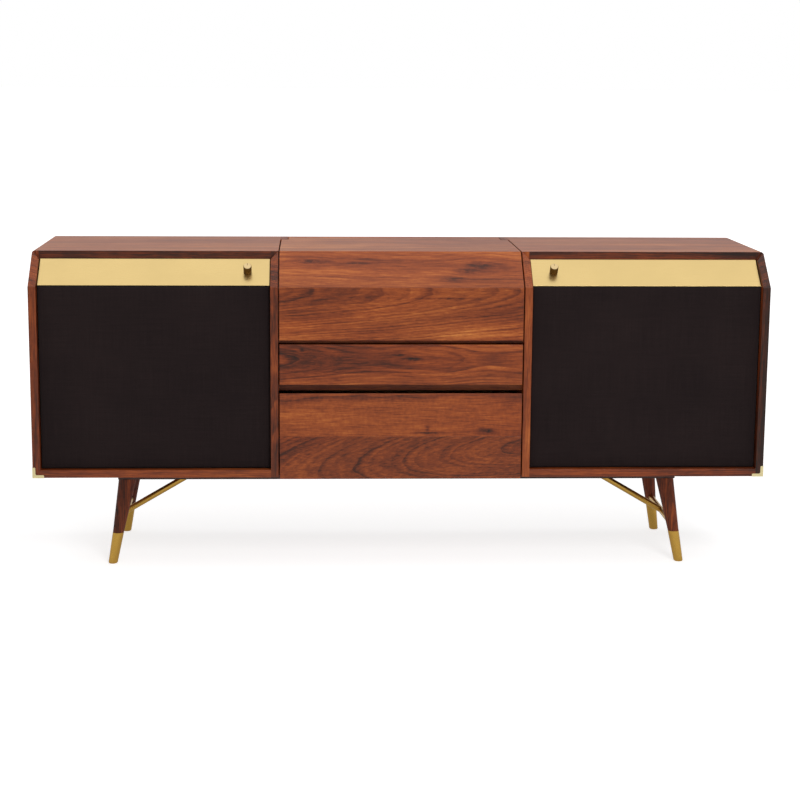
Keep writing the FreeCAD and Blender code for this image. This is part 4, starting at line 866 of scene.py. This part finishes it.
# ---------------------------------------------------------------- stage
def stage():
    """A plain pale floor, a white surround and soft light from above."""
    bm = bmesh.new()
    bmesh.ops.create_grid(bm, x_segments=1, y_segments=1, size=90.0)
    mesh = bpy.data.meshes.new("floor")
    bm.to_mesh(mesh)
    bm.free()
    floor = bpy.data.objects.new("floor", mesh)
    bpy.context.scene.collection.objects.link(floor)
    s = Shader("pale_floor")
    ahead = s.along(s.place(), Y)
    aside = s.math("ABSOLUTE", s.along(s.place(), X))
    seen = s.plus(s.span(ahead, 0.3, 3.0, 0.42, 0.68), s.span(ahead, -4.5, -2.0, 0.45, 0.0),
                  s.span(aside, 1.6, 4.5, 0.0, 0.45))
    s.set(base_color=(0.55, 0.55, 0.55, 1), roughness=0.9, emission_color=(1, 1, 1, 1),
          emission_strength=s.plus(s.span(ahead, -3.2, -1.75, 0.15, 0.34),
                                   s.times(s.add("LightPath").outputs["Is Camera Ray"], seen)))
    mesh.materials.append(s.material)

    world = bpy.data.worlds.new("surround")
    world.use_nodes = True
    tree = world.node_tree
    split = tree.nodes.new("ShaderNodeSeparateXYZ")
    tree.links.new(tree.nodes.new("ShaderNodeTexCoord").outputs["Generated"], split.inputs[0])
    fade = tree.nodes.new("ShaderNodeMapRange")
    for name, value in (("From Min", 0.05), ("From Max", 0.34), ("To Min", 1.0), ("To Max", 0.25)):
        fade.inputs[name].default_value = value
    tree.links.new(split.outputs[2], fade.inputs["Value"])
    tree.links.new(fade.outputs[0], tree.nodes["Background"].inputs["Strength"])
    tree.nodes["Background"].inputs["Color"].default_value = (1, 1, 1, 1)
    bpy.context.scene.world = world

    for name, place, aim, size, power in (
            ("overhead", (0.0, -1.0, 3.4), (0, -1.0, 0), (6.0, 4.0), 77.0),
            ("key", (1.2, -4.4, 3.6), (0, 0, 0.5), (1.6, 1.2), 90.0)):
        light = bpy.data.lights.new(name, "AREA")
        light.shape = "RECTANGLE"
        light.size, light.size_y = size
        light.energy = power
        lamp = bpy.data.objects.new(name, light)
        lamp.location = place
        lamp.rotation_mode = "QUATERNION"
        lamp.rotation_quaternion = (Vector(aim) - Vector(place)).to_track_quat("-Z", "Y")
        bpy.context.scene.collection.objects.link(lamp)


def camera():
    """Long lens from a little left of the middle and above the top."""
    data = bpy.data.cameras.new("camera")
    data.sensor_width = 36.0
    data.lens = 82.73
    data.shift_x = 0.025
    data.clip_start, data.clip_end = 0.1, 200.0
    cam = bpy.data.objects.new("camera", data)
    yaw, pitch, roll = radians(2.1749), radians(-10.3346), radians(0.3420)
    cam.rotation_mode = "QUATERNION"
    look = Vector((sin(yaw) * cos(pitch), cos(yaw) * cos(pitch), sin(pitch)))
    level = Vector((cos(yaw), -sin(yaw), 0))
    up = level.cross(look)
    right = level * cos(roll) + up * sin(roll)
    up = up * cos(roll) - level * sin(roll)
    turn = Matrix((right, up, -look)).transposed()
    cam.rotation_quaternion = turn.to_quaternion()
    cam.location = (-0.2217, -4.7071, 1.2639)
    bpy.context.scene.collection.objects.link(cam)
    bpy.context.scene.camera = cam


# ---------------------------------------------------------------- build
bpy.context.scene.view_settings.view_transform = "Standard"
camera()
stage()
finish_cad_nodes()
case_boards()
lid_boards()
drawer_boards()
ferrules()
eased("corner_caps", 0.0005, [("corner_cap_left", cap_brass), ("corner_cap_right", cap_brass)],
      right_side)
eased("control_fascias", 0.0004, [("fascia_left", fascia_brass), ("fascia_right", fascia_brass)],
      right_side)
for side in ("left", "right"):
    grille_cloth(side)
control_knob("volume_knob")
control_knob("source_knob")
ribbed_mat()
strobe_dots()
speed_knob()
counterweight()
back_details()
felt_pads()
